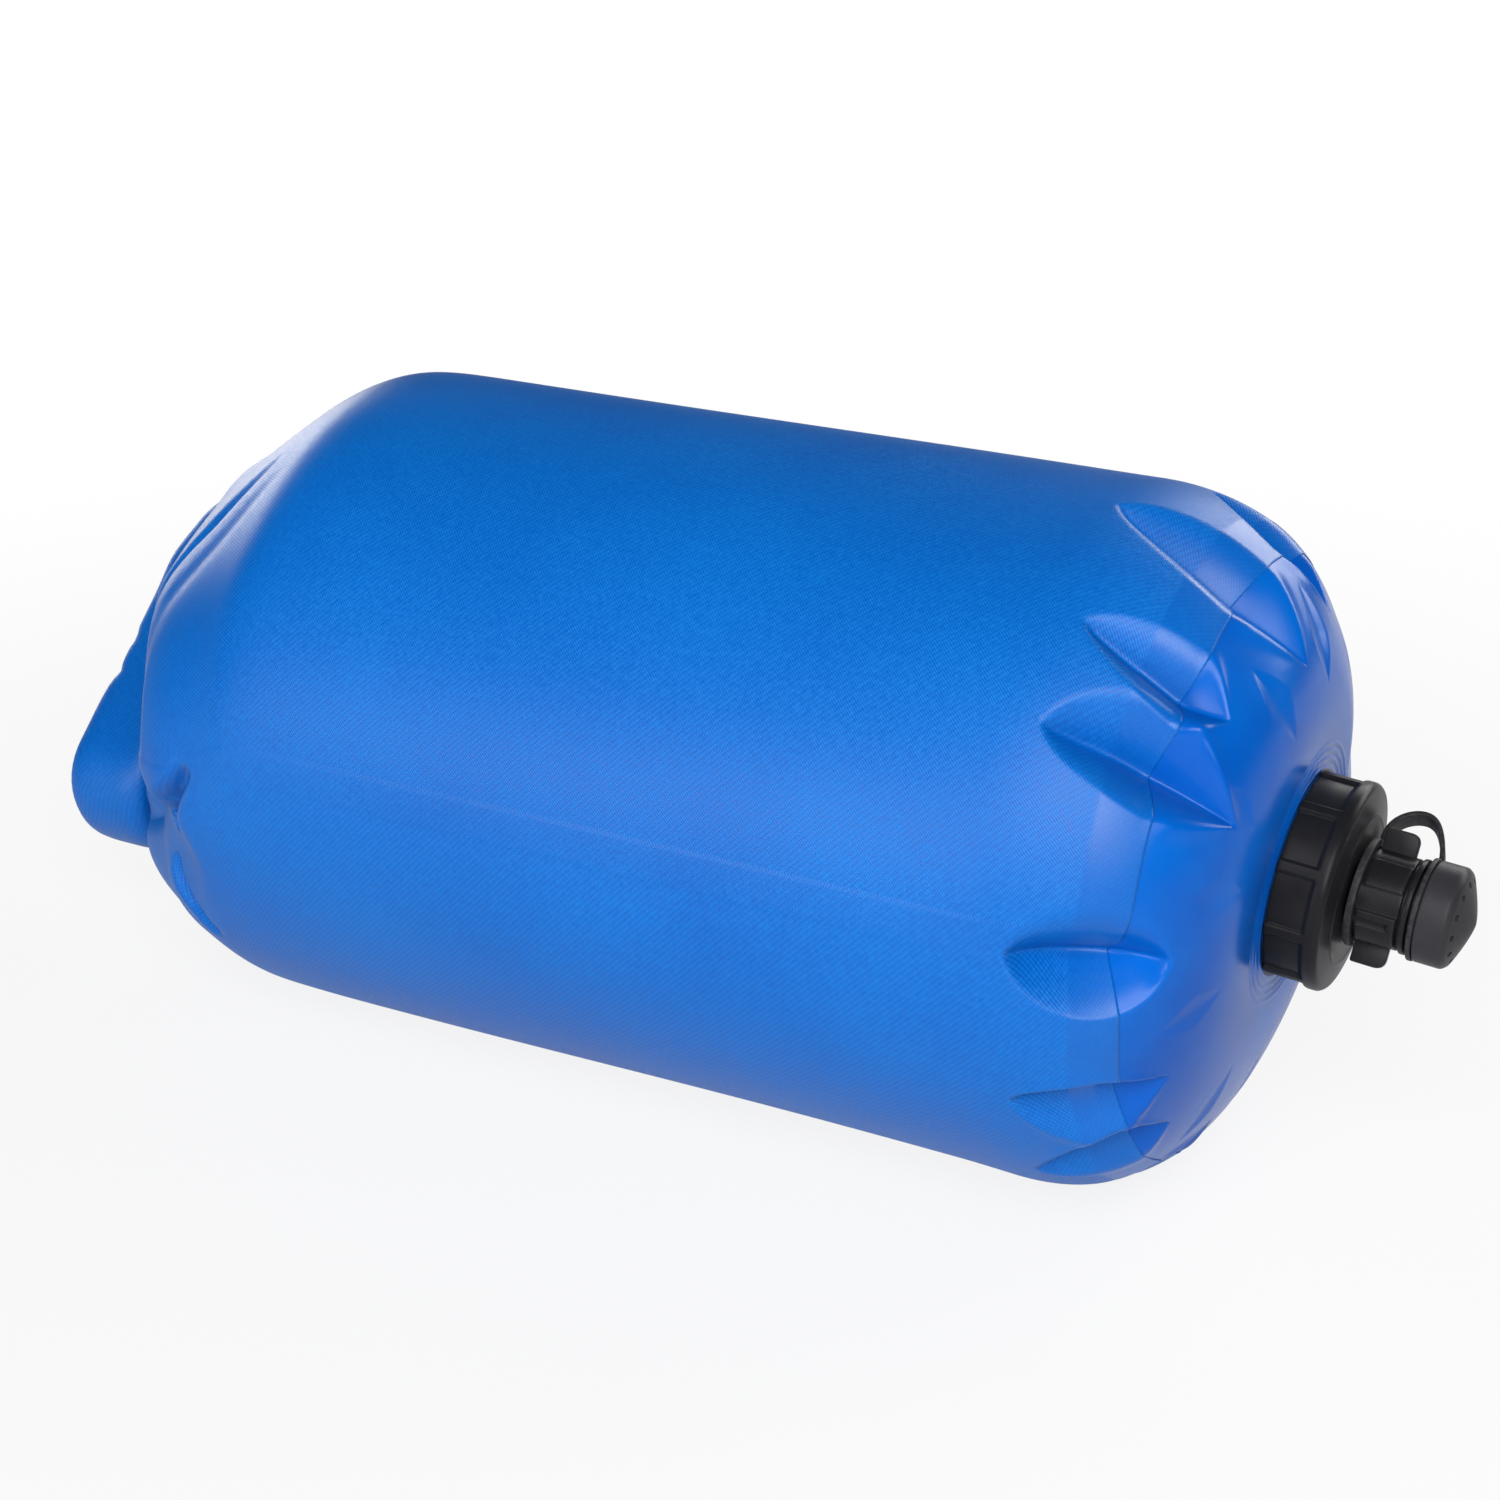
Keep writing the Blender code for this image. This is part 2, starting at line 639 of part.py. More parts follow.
def make_stem_seal():
    """Flat washer between the stem's flange and the cap."""
    low = STEM_BASE + STEM_FLANGE_THICKNESS + GAP
    high = low + STEM_SEAL_THICKNESS
    inner = STEM_RADIUS + GAP
    outer = STEM_RADIUS + STEM_FLANGE_WIDTH
    profile = [(inner, low), (outer, low), (outer, high), (inner, high)]
    turned("stem_seal", profile, valve_frame, RUBBER, SMALL_SIDES)


def make_tap_seal():
    """O-ring that lifts with the tap and wipes the stem."""
    seal_ring("tap_seal", SEAL_TRACK, SEAL_ROD, TAP_BASE + TAP_SKIRT / 2, valve_frame)


def wing_outline():
    """Return a wing's outline as (radius, height), with its outer front corner rounded."""
    inner = TAP_RADIUS - EMBED
    outer = TAP_RADIUS + WING_SPAN
    top = WING_BASE + WING_LENGTH
    centre = (outer - WING_CORNER, top - WING_CORNER)
    steps = [math.radians(angle) for angle in (0, 30, 60, 90)]
    corner = [(centre[0] + WING_CORNER * math.cos(a), centre[1] + WING_CORNER * math.sin(a)) for a in steps]
    return [(inner, WING_BASE), (outer, WING_BASE)] + corner + [(inner, top)]


def pad_outline(start, end):
    """Return a raised grip pad's outline round the tap, between two angles."""
    span = [start + (end - start) * index / TAP_PAD_STEPS for index in range(TAP_PAD_STEPS + 1)]
    outer = TAP_RADIUS + TAP_PAD_RISE
    inner = TAP_RADIUS - EMBED
    front = [(outer * math.cos(angle), outer * math.sin(angle)) for angle in span]
    back = [(inner * math.cos(angle), inner * math.sin(angle)) for angle in reversed(span)]
    return front + back


def make_tap_sleeve():
    """Winged sleeve with a seal groove, a seat that the stem's pin closes and a spout for the shower head."""
    seal_middle = TAP_BASE + TAP_SKIRT / 2
    seal_low = seal_middle - SEAL_GROOVE / 2
    seal_high = seal_middle + SEAL_GROOVE / 2
    seal_depth = SEAL_TRACK + SEAL_ROD + GAP
    chamber = TAP_BORE + TAP_CHAMBER
    seat_low = TAP_SEAT_TOP - TAP_SEAT
    head_seal = TAP_LIP_TOP + SPOUT_LENGTH / 2
    head_groove = SPOUT_RADIUS - 2 * SEAL_ROD + GAP
    profile = [
        (TAP_BORE, TAP_BASE), (TAP_RADIUS, TAP_BASE), (TAP_RADIUS, TAP_BODY_TOP),
        (TAP_RADIUS - TAP_GROOVE_DEPTH, TAP_BODY_TOP), (TAP_RADIUS - TAP_GROOVE_DEPTH, TAP_LIP_BASE),
        (TAP_LIP_RADIUS, TAP_LIP_BASE), (TAP_LIP_RADIUS, TAP_LIP_TOP), (SPOUT_RADIUS, TAP_LIP_TOP),
        (SPOUT_RADIUS, head_seal - SEAL_GROOVE / 2), (head_groove, head_seal - SEAL_GROOVE / 2),
        (head_groove, head_seal + SEAL_GROOVE / 2), (SPOUT_RADIUS, head_seal + SEAL_GROOVE / 2),
        (SPOUT_RADIUS, TAP_TOP), (SPOUT_BORE, TAP_TOP), (SPOUT_BORE, TAP_SEAT_TOP),
        (PIN_RADIUS + GAP, TAP_SEAT_TOP), (PIN_RADIUS + GAP, seat_low), (chamber, seat_low),
        (chamber, TAP_BASE + TAP_SKIRT), (TAP_BORE, TAP_BASE + TAP_SKIRT), (TAP_BORE, seal_high),
        (seal_depth, seal_high), (seal_depth, seal_low), (TAP_BORE, seal_low),
    ]
    sleeve = turned("tap_sleeve", profile, valve_frame, BLACK)
    pad_height = TAP_BODY_TOP - EMBED - WING_BASE
    lifted = Matrix.Translation((0.0, 0.0, WING_BASE + pad_height / 2))
    for name, (start, end) in (("narrow_pad", TAP_NARROW_PAD), ("wide_pad", TAP_WIDE_PAD)):
        for index in range(2):
            place = Matrix.Rotation(math.pi * index, 4, "Z") @ lifted
            pad = plate(f"{name}_{index}", [pad_outline(start, end)], pad_height, valve_frame, None, place)
            boolean(sleeve, pad, "UNION")
    upright = Matrix.Rotation(math.pi / 2, 4, "X")
    for index in range(2):
        spin = Matrix.Rotation(WING_ANGLE + math.pi * index, 4, "Z")
        wing = plate(f"wing_{index}", [wing_outline()], WING_THICKNESS, valve_frame, None, spin @ upright)
        boolean(sleeve, wing, "UNION")


def make_head_seal():
    """O-ring in the spout's groove that holds the shower head."""
    middle = TAP_LIP_TOP + SPOUT_LENGTH / 2
    seal_ring("head_seal", SPOUT_RADIUS - SEAL_ROD + GAP, SEAL_ROD - GAP / 2, middle, valve_frame)


def make_shower_head():
    """Cup with a shallow cone at its front and a circle of spray holes."""
    seat_top = HEAD_BASE + HEAD_SEAT
    edge_base = seat_top + HEAD_BODY
    cone_base = edge_base + HEAD_EDGE
    seat = HEAD_RADIUS - HEAD_SEAT_DEPTH
    cone_radius = HEAD_RADIUS - HEAD_EDGE
    profile = [
        (0.0, HEAD_TOP - HEAD_WALL), (HEAD_BORE, cone_base - HEAD_WALL), (HEAD_BORE, HEAD_BASE),
        (seat, HEAD_BASE), (seat, seat_top), (HEAD_RADIUS, seat_top), (HEAD_RADIUS, edge_base),
        (cone_radius, cone_base), (0.0, HEAD_TOP),
    ]
    head = turned("shower_head", profile, valve_frame, GREY, SMALL_SIDES)
    mesh = bpy.data.meshes.new("spray_holes")
    bm = bmesh.new()
    tilt = math.atan2(HEAD_CONE, cone_radius)
    middle = HEAD_TOP - HEAD_CONE * HEAD_HOLE_CIRCLE / cone_radius
    for index in range(HEAD_HOLES):
        spin = Matrix.Rotation(2 * math.pi * index / HEAD_HOLES, 4, "Z")
        place = Matrix.Translation((HEAD_HOLE_CIRCLE, 0.0, middle)) @ Matrix.Rotation(tilt, 4, "Y")
        bmesh.ops.create_cone(
            bm, cap_ends=True, segments=SEAL_SIDES, radius1=HEAD_HOLE_RADIUS, radius2=HEAD_HOLE_RADIUS,
            depth=4 * HEAD_WALL, matrix=spin @ place,
        )
    bm.to_mesh(mesh)
    bm.free()
    boolean(head, finish("spray_holes", mesh, valve_frame, None), "DIFFERENCE")


def strap_path():
    """Return the tether's route as (radius, height), a loop from the tap's ring out to the head's ring."""
    start = (TAP_RADIUS + GAP + TETHER_RING / 2, TETHER_RING_BASE + TETHER_RING / 2)
    end = (HEAD_RADIUS - HEAD_SEAT_DEPTH + GAP + TETHER_RING / 2, HEAD_BASE + HEAD_SEAT / 2)
    middle = ((start[0] + end[0]) / 2, (start[1] + end[1]) / 2)
    half = (end[1] - start[1]) / 2
    route = []
    for index in range(TETHER_STEPS + 1):
        angle = math.pi * index / TETHER_STEPS
        lean = 1 + TETHER_LEAN * math.sin(2 * angle)
        radius = middle[0] + (end[0] - start[0]) / 2 * -math.cos(angle) + TETHER_REACH * math.sin(angle)
        route.append((radius, middle[1] - half * math.cos(angle) * lean))
    return route


def make_tap_tether():
    """Flat rubber strap with a ring round the tap and a ring round the shower head."""
    route = strap_path()
    sides = ([], [])
    for index, (radius, height) in enumerate(route):
        before = route[max(index - 1, 0)]
        after = route[min(index + 1, len(route) - 1)]
        along = Vector((after[0] - before[0], after[1] - before[1])).normalized() * TETHER_THICKNESS / 2
        for side, sign in zip(sides, (1, -1)):
            side.append((radius - sign * along.y, height + sign * along.x))
    spin = Matrix.Rotation(TETHER_ANGLE, 4, "Z") @ Matrix.Rotation(math.pi / 2, 4, "X")
    strap = plate("strap_band", [sides[0] + sides[1][::-1]], TETHER_WIDTH, valve_frame, None, spin)
    inner = TAP_RADIUS + GAP
    outer = inner + TETHER_RING
    low = TETHER_RING_BASE
    high = low + TETHER_RING
    profile = [(inner, low), (outer, low), (outer, high), (inner, high)]
    tether = turned("tap_tether", profile, valve_frame, RUBBER)
    inner = HEAD_RADIUS - HEAD_SEAT_DEPTH + GAP
    low = HEAD_BASE + GAP
    high = HEAD_BASE + HEAD_SEAT - GAP
    outer = inner + TETHER_RING / 2
    ring = turned("head_ring", [(inner, low), (outer, low), (outer, high), (inner, high)], valve_frame, None)
    boolean(tether, strap, "UNION")
    boolean(tether, ring, "UNION")


# Rolled closure

def roll_stations(first, last):
    """Return places along the roll from arm to arm: each takes (across, outwards) and gives a point."""
    half = ROLL_STRAIGHT / 2
    centres = ((-half, -1), (half, 1))
    frames = [(Vector((0.0, -half + first, BUCKLE_Z)), Vector((0.0, 0.0, -1.0)))]
    for centre, side in centres:
        for index in range(BEND_STEPS + 1):
            share = index / BEND_STEPS if side > 0 else 1 - index / BEND_STEPS
            angle = math.pi * share
            outward = Vector((0.0, side * math.sin(angle), math.cos(angle)))
            frames.append((Vector((0.0, centre, -BEND_RADIUS)) + outward * BEND_RADIUS, outward))
    frames.append((Vector((0.0, half - last, BUCKLE_Z)), Vector((0.0, 0.0, -1.0))))
    return [
        lambda across, out, point=point, outward=outward: point + Vector((across, 0.0, 0.0)) + outward * out
        for point, outward in frames
    ]


def roll_outline():
    """Return the outline of the cloth wound flat on itself, as (across, outwards) points."""
    count = round(ROLL_TURNS * ROLL_TURN_POINTS)
    line = []
    for index in range(count + 1):
        turn = index / ROLL_TURN_POINTS
        angle = 2 * math.pi * (ROLL_START + turn)
        half_width = ROLL_WIDTH / 2 - ROLL_PLY / 2 - ROLL_STEP * turn
        half_height = ROLL_THICKNESS / 2 - ROLL_PLY / 2 - ROLL_STEP * turn
        across = half_width * signed_power(math.cos(angle), ROLL_EDGE_POWER)
        outwards = half_height * signed_power(math.sin(angle), ROLL_FACE_POWER)
        line.append(Vector((across, outwards)))
    sides = ([], [])
    for index, point in enumerate(line):
        along = (line[min(index + 1, count)] - line[max(index - 1, 0)]).normalized()
        normal = Vector((-along.y, along.x)) * ROLL_PLY / 2
        sides[0].append(tuple(point + normal))
        sides[1].append(tuple(point - normal))
    return sides[0] + sides[1][::-1]


def make_closure_roll():
    """Mouth of the sack wound flat, straight across the end and bent back on itself at both ends."""
    sweep("closure_roll", roll_outline(), roll_stations(ROLL_ARM, ROLL_ARM), closure_frame, ROLLED)


def make_closure_stiffener():
    """Plastic strip in the middle of the roll, between the two webbing tails."""
    half_width = WEBBING_WIDTH / 2
    half = STIFFENER_THICKNESS / 2
    outline = [(-half_width, -half), (half_width, -half), (half_width, half), (-half_width, half)]
    stations = roll_stations(GAP, GAP)[1:-1]
    sweep("closure_stiffener", outline, stations, closure_frame, STRIP)


# Buckle and webbing

def make_webbing_tab(name, side):
    """Short doubled strap: an eye round the buckle's bar and a tail held in the core of the roll."""
    bar_outer = BUCKLE_HALF_LENGTH + GAP
    bar_inner = BUCKLE_HALF_LENGTH - BUCKLE_BAR - GAP
    bar_half = BUCKLE_BAR_THICKNESS / 2 + GAP
    tail_end = ROLL_STRAIGHT / 2 - GAP
    eye_half = bar_half + WEBBING_PLY
    outline = [
        (bar_inner - WEBBING_PLY, -eye_half), (bar_outer + WEBBING_PLY, -eye_half),
        (bar_outer + 2 * WEBBING_PLY, -WEBBING_PLY), (tail_end, -WEBBING_PLY), (tail_end, WEBBING_PLY),
        (bar_outer + 2 * WEBBING_PLY, WEBBING_PLY), (bar_outer + WEBBING_PLY, eye_half),
        (bar_inner - WEBBING_PLY, eye_half),
    ]
    hole = [(bar_inner, -bar_half), (bar_outer, -bar_half), (bar_outer, bar_half), (bar_inner, bar_half)]
    turn = Matrix.Rotation(side * math.pi / 2, 4, "Z") @ Matrix.Rotation(math.pi / 2, 4, "X")
    plate(name, [outline, hole], WEBBING_WIDTH, buckle_frame, WEBBING, turn)


def cut_webbing_slot(item, side, thickness):
    """Cut the slot that the webbing passes through, and thin the bar that it goes round."""
    end = BUCKLE_HALF_LENGTH + EMBED
    bar = BUCKLE_HALF_LENGTH - BUCKLE_BAR
    half_width = WEBBING_WIDTH / 2 + 2 * GAP
    half_bar = BUCKLE_BAR_THICKNESS / 2
    spans = [
        (bar - BUCKLE_SLOT, bar, -thickness, thickness),
        (bar - EMBED, end, half_bar, thickness),
        (bar - EMBED, end, -thickness, -half_bar),
    ]
    for index, (near, far, low, high) in enumerate(spans):
        first, last = sorted((side * near, side * far))
        name = f"{item.name}_slot_{index}"
        slot = block(name, (-half_width, first, low), (half_width, last, high), buckle_frame)
        boolean(item, slot, "DIFFERENCE")


def round_edges(item):
    """Round a box's edges before it is cut."""
    bevel = item.modifiers.new("round", "BEVEL")
    bevel.width = BUCKLE_BEVEL
    bevel.segments = 2


def make_buckle_female():
    """Housing with a mouth for the prongs, two side windows and a bar for the webbing."""
    half_width = BUCKLE_WIDTH / 2
    half = BUCKLE_THICKNESS / 2
    cavity_width = half_width - BUCKLE_WALL
    cavity = half - BUCKLE_SKIN
    cavity_end = CATCH_START + CATCH_LENGTH + PRONG_END_ROOM
    housing = block(
        "buckle_female", (-half_width, -BUCKLE_MOUTH, -half), (half_width, BUCKLE_HALF_LENGTH, half),
        buckle_frame, BLACK,
    )
    round_edges(housing)
    mouth = block(
        "buckle_mouth", (-cavity_width, -BUCKLE_MOUTH - EMBED, -cavity), (cavity_width, cavity_end, cavity),
        buckle_frame,
    )
    boolean(housing, mouth, "DIFFERENCE")
    window = block(
        "buckle_window", (-half_width - EMBED, CATCH_START, -cavity),
        (half_width + EMBED, CATCH_START + CATCH_LENGTH, cavity), buckle_frame,
    )
    boolean(housing, window, "DIFFERENCE")
    cut_webbing_slot(housing, 1, BUCKLE_THICKNESS)


def make_buckle_male():
    """Body with a bar for the webbing and a guide tongue between the prongs."""
    half_width = BUCKLE_WIDTH / 2
    half = MALE_THICKNESS / 2
    face = -BUCKLE_MOUTH - 2 * GAP
    body = block(
        "buckle_male", (-half_width, -BUCKLE_HALF_LENGTH, -half), (half_width, face, half),
        buckle_frame, BLACK,
    )
    round_edges(body)
    half_tongue = TONGUE_WIDTH / 2
    half_height = PRONG_THICKNESS / 2
    tongue = block(
        "buckle_tongue", (-half_tongue, face - EMBED, -half_height),
        (half_tongue, face + TONGUE_LENGTH, half_height), buckle_frame,
    )
    boolean(body, tongue, "UNION")
    cut_webbing_slot(body, -1, BUCKLE_THICKNESS)


def make_prong(name, side):
    """Springy arm with a barb that stands in the housing's side window, hinged at its root."""
    root = -BUCKLE_MOUTH - 2 * GAP + PRONG_ROOT_GAP
    tip = CATCH_START + CATCH_LENGTH
    outer = PRONG_INNER + PRONG_WIDTH
    barb = outer + PRONG_BARB
    pivot = Vector((side * (PRONG_INNER + PRONG_WIDTH / 2), root, 0.0))
    catch = CATCH_START + BUCKLE_BEVEL
    outline = [
        (PRONG_INNER, root), (outer, root), (outer, catch), (barb, catch),
        (barb, CATCH_START + CATCH_LENGTH / 2), (outer - BUCKLE_BEVEL, tip), (PRONG_INNER, tip),
    ]
    shape = [(side * x - pivot.x, y - pivot.y) for x, y in outline]
    prong = plate(name, [shape], PRONG_THICKNESS, buckle_frame, BLACK)
    prong.location = pivot


# Assembly

bag_frame = new_empty("bag_frame", None, (BAG_SHIFT, 0.0, AXIS_HEIGHT))
valve_frame = new_empty(
    "valve_frame", bag_frame, (DOME_HEIGHT, VALVE_OFFSET, VALVE_RISE), (0.0, math.pi / 2 + VALVE_DROOP, 0.0)
)
closure_frame = new_empty(
    "closure_frame", bag_frame,
    (ROLL_X, ROLL_SHIFT * math.cos(ROLL_ANGLE), ROLL_SHIFT * math.sin(ROLL_ANGLE)), (ROLL_ANGLE, 0.0, 0.0),
)
buckle_frame = new_empty("buckle_frame", closure_frame, (0.0, 0.0, BUCKLE_Z))

make_bag_wall()
make_base_panel()
make_spout()
make_spout_collar()
make_cap_gasket()
make_screw_cap()
make_valve_stem()
make_stem_seal()
make_tap_seal()
make_tap_sleeve()
make_head_seal()
make_shower_head()
make_tap_tether()
make_closure_roll()
make_closure_stiffener()
make_webbing_tab("webbing_tab_female", 1)
make_webbing_tab("webbing_tab_male", -1)
make_buckle_female()
make_buckle_male()
make_prong("buckle_prong_right", 1)
make_prong("buckle_prong_left", -1)
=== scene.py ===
"""Looks of the roll-top water sack: cloth, film, moulded plastic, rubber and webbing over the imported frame.

Sizes in the classes are millimetres and degrees, and become metres when a mesh is made.
The bag place has its origin on the sack's axis at the wall's cut edge, with x to the valve and z up.
The valve place has z along the valve's axis, outwards. The closure place has y along the roll.
A bearing is the angle round the sack's axis, from the side that faces the viewer up over the top.
A reach is the distance along the sack's skin from the wall's cut edge, towards the valve.
"""

from __future__ import annotations

import logging
import math
from dataclasses import dataclass, field
from enum import Enum
from functools import cache
from typing import Callable, Optional, Sequence, Union

import bmesh
import bpy
import numpy as np
from mathutils import Euler, Matrix, Vector

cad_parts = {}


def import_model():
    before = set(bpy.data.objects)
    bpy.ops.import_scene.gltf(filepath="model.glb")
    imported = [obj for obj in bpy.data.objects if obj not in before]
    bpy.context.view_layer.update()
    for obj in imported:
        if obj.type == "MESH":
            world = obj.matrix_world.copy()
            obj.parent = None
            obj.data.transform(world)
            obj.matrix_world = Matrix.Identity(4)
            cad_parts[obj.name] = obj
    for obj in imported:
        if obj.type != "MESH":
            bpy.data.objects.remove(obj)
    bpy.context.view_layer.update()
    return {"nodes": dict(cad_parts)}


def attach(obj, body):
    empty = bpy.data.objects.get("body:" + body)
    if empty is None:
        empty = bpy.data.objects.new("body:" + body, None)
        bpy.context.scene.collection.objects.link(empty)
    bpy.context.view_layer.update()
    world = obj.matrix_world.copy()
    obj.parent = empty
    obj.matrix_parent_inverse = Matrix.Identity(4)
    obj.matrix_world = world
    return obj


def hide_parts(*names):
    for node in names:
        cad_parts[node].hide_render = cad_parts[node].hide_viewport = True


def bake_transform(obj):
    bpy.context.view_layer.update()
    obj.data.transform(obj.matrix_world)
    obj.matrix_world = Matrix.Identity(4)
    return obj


MM = 0.001
TURN = 2 * math.pi
LOG = logging.getLogger("water_sack")

Array = np.ndarray
Piece = bpy.types.Object
Point = tuple[float, float, float]
Corner = tuple[float, float, float]
Colour = tuple[float, float, float]
Triple = tuple[float, float, float]
Spot = tuple[float, float]
Span = tuple[float, float]
Station = tuple[Vector, Vector, Vector]
Value = Union["Wire", float, tuple]
Relief = Callable[[Array, Array, Array], Array]

WHITE = (1.0, 1.0, 1.0, 1.0)
UP = Vector((0.0, 0.0, 1.0))


# Places of the assembly

@dataclass(frozen=True)
class Place:
    """A frame that a group of pieces is made in, with its turn about x, y and z."""

    origin: Point
    turn: Point = (0.0, 0.0, 0.0)

    def matrix(self) -> Matrix:
        """Return the place as a matrix in millimetres."""
        angles = Euler([math.radians(angle) for angle in self.turn])
        return Matrix.Translation(self.origin) @ angles.to_matrix().to_4x4()

    def metres(self, points: Array) -> Array:
        """Return points of this place, given in millimetres, in the frame's metres."""
        matrix = np.array(self.matrix())
        return (points @ matrix[:3, :3].T + matrix[:3, 3]) * MM

    def point(self, x: float, y: float, z: float) -> Point:
        """Return one point of this place in the frame's metres."""
        return tuple(self.metres(np.array([x, y, z])).tolist())


BAG = Place((159.445, 0.0, 94.0))
VALVE = Place((176.945, -5.0, 95.9), (0.0, 95.0, 0.0))
CLOSURE = Place((-210.855, -1.486, 92.662), (42.0, 0.0, 0.0))
BUCKLE = Place((-210.855, 22.602, 65.909), (42.0, 0.0, 0.0))


# Shader expressions

class Wire:
    """A shader socket that works like a number in Python expressions."""

    def __init__(self, paint: Paint, socket: Optional[bpy.types.NodeSocket]) -> None:
        """Keep the paint that the socket belongs to."""
        self.paint = paint
        self.socket = socket

    def combine(self, operation: str, first: Value, second: Value) -> Wire:
        """Return a Math node of two values."""
        return self.paint.node("ShaderNodeMath", {"operation": operation}, {0: first, 1: second})

    def __add__(self, other: Value) -> Wire:
        """Return the sum."""
        return self.combine("ADD", self, other)

    def __radd__(self, other: Value) -> Wire:
        """Return the sum with a number in front."""
        return self.combine("ADD", other, self)

    def __sub__(self, other: Value) -> Wire:
        """Return the difference."""
        return self.combine("SUBTRACT", self, other)

    def __rsub__(self, other: Value) -> Wire:
        """Return the difference from a number in front."""
        return self.combine("SUBTRACT", other, self)

    def __mul__(self, other: Value) -> Wire:
        """Return the product."""
        return self.combine("MULTIPLY", self, other)

    def __rmul__(self, other: Value) -> Wire:
        """Return the product with a number in front."""
        return self.combine("MULTIPLY", other, self)

    def sine(self) -> Wire:
        """Return the sine."""
        return self.combine("SINE", self, 0.0)

    def wave(self) -> Wire:
        """Return the sine as a wave between 0 and 1."""
        return self.sine() * 0.5 + 0.5

    def between(self, low: float, high: float) -> Wire:
        """Return a smooth step that is 0 below low and 1 above high."""
        inputs = {"Value": self, "From Min": low, "From Max": high}
        return self.paint.node("ShaderNodeMapRange", {"interpolation_type": "SMOOTHSTEP"}, inputs)


class Paint:
    """The nodes of one material or of the world."""

    def __init__(self, owner: Union[bpy.types.Material, bpy.types.World]) -> None:
        """Start with no nodes.

        Args:
            owner: The material or world.
        """
        owner.use_nodes = True
        self.owner = owner
        self.tree = owner.node_tree
        self.tree.nodes.clear()

    def node(
        self, kind: str, settings: Optional[dict] = None, inputs: Optional[dict] = None,
        output: Union[int, str] = 0,
    ) -> Wire:
        """Add a node.

        Args:
            kind: Blender's type of the node.
            settings: Properties of the node, which are set first.
            inputs: Values or wires for sockets, by name or number.
            output: The socket that is returned.

        Returns:
            The wire from the chosen output.
        """
        node = self.tree.nodes.new(kind)
        for name, value in (settings or {}).items():
            setattr(node, name, value)
        for name, value in (inputs or {}).items():
            if isinstance(value, Wire):
                self.tree.links.new(value.socket, node.inputs[name])
            else:
                node.inputs[name].default_value = value
        return Wire(self, node.outputs[output] if node.outputs else None)

    def place(self) -> Wire:
        """Return the place in the frame, in metres."""
        return self.node("ShaderNodeTexCoord", output="Object")

    def cloth(self) -> tuple[Wire, Wire]:
        """Return the place on the flat cloth, across and along it, in metres."""
        flat = self.node("ShaderNodeUVMap", {"uv_map": "weave"})
        return tuple(self.node("ShaderNodeSeparateXYZ", None, {0: flat}, axis) for axis in "XY")

    def noise(self, size: float, detail: float) -> Wire:
        """Return noise between 0 and 1 whose blotches are about size millimetres wide."""
        inputs = {"Vector": self.place(), "Scale": 1 / (size * MM), "Detail": detail}
        return self.node("ShaderNodeTexNoise", {"noise_dimensions": "3D"}, inputs)

    def blend(self, share: Value, first: Union[Wire, Colour], second: Union[Wire, Colour]) -> Wire:
        """Return a colour between two colours.

        Args:
            share: Share of the second colour, from 0 to 1.
            first: Colour at 0.
            second: Colour at 1.

        Returns:
            The mixed colour.
        """
        ends = [colour if isinstance(colour, Wire) else (*colour, 1.0) for colour in (first, second)]
        return self.node("ShaderNodeMix", {"data_type": "RGBA"}, {0: share, 6: ends[0], 7: ends[1]}, 2)

    def bump(self, height: Wire, depth: float, strength: float) -> Wire:
        """Return a normal that follows a height of up to depth millimetres."""
        inputs = {"Height": height, "Distance": depth * MM, "Strength": strength}
        return self.node("ShaderNodeBump", None, inputs)

    def surface(self, inputs: dict) -> bpy.types.Material:
        """Finish the material with a Principled surface.

        Args:
            inputs: Values or wires for the surface's sockets, by name.

        Returns:
            The material.
        """
        shader = self.node("ShaderNodeBsdfPrincipled", None, inputs)
        self.node("ShaderNodeOutputMaterial", None, {"Surface": shader})
        return self.owner


# Finishes

@dataclass(frozen=True)
class CoatedNylon:
    """Satin blue coated cloth with a fine diagonal weave, smoother where it is welded, and with a painted
    sheen that lightens the welded band.
    """

    name: str = "coated_nylon"
    colour: Colour = (0.0, 0.082, 0.4)
    light: Colour = (0.0, 0.18, 0.61)
    thread: float = 0.95
    thread_depth: float = 0.09
    speckle_size: float = 1.4
    blotch_size: float = 55.0
    roughness: float = 0.42
    specular: float = 0.27
    gloss: float = 0.18
    gloss_roughness: float = 0.25
    gloss_ior: float = 1.35

    def material(self) -> bpy.types.Material:
        """Return the cloth as a material."""
        paint = Paint(bpy.data.materials.new(self.name))
        across, along = paint.cloth()
        pitch = TURN / (self.thread * MM)
        twill = ((across + along) * pitch).wave()
        weft = ((across - along) * (pitch / 2)).wave()
        speckle = paint.noise(self.speckle_size, 1.0)
        blotch = paint.noise(self.blotch_size, 3.0)
        pressed_and_sheen = paint.node("ShaderNodeAttribute", {"attribute_name": "pressed_and_sheen"}, output="Fac")
        loose = 1 - pressed_and_sheen * 0.55
        weave = twill * 0.55 + weft * 0.25 + speckle * 0.5
        # The last term lifts the welded band's colour towards the lighter blue: a painted sheen.
        share = (weave * 0.8 - 0.2) * loose + blotch * 0.4 - 0.1 + pressed_and_sheen * 0.08
        grain = (speckle - 0.5) * 0.22 * loose + (blotch - 0.5) * 0.06
        return paint.surface({
            "Base Color": paint.blend(share.between(0.0, 1.0), self.colour, self.light),
            "Roughness": self.roughness + grain - pressed_and_sheen * 0.08,
            "Normal": paint.bump(weave * loose, self.thread_depth, 0.55),
            "Specular IOR Level": self.specular,
            "Coat Weight": pressed_and_sheen * self.gloss,
            "Coat Roughness": self.gloss_roughness,
            "Coat IOR": self.gloss_ior,
        })


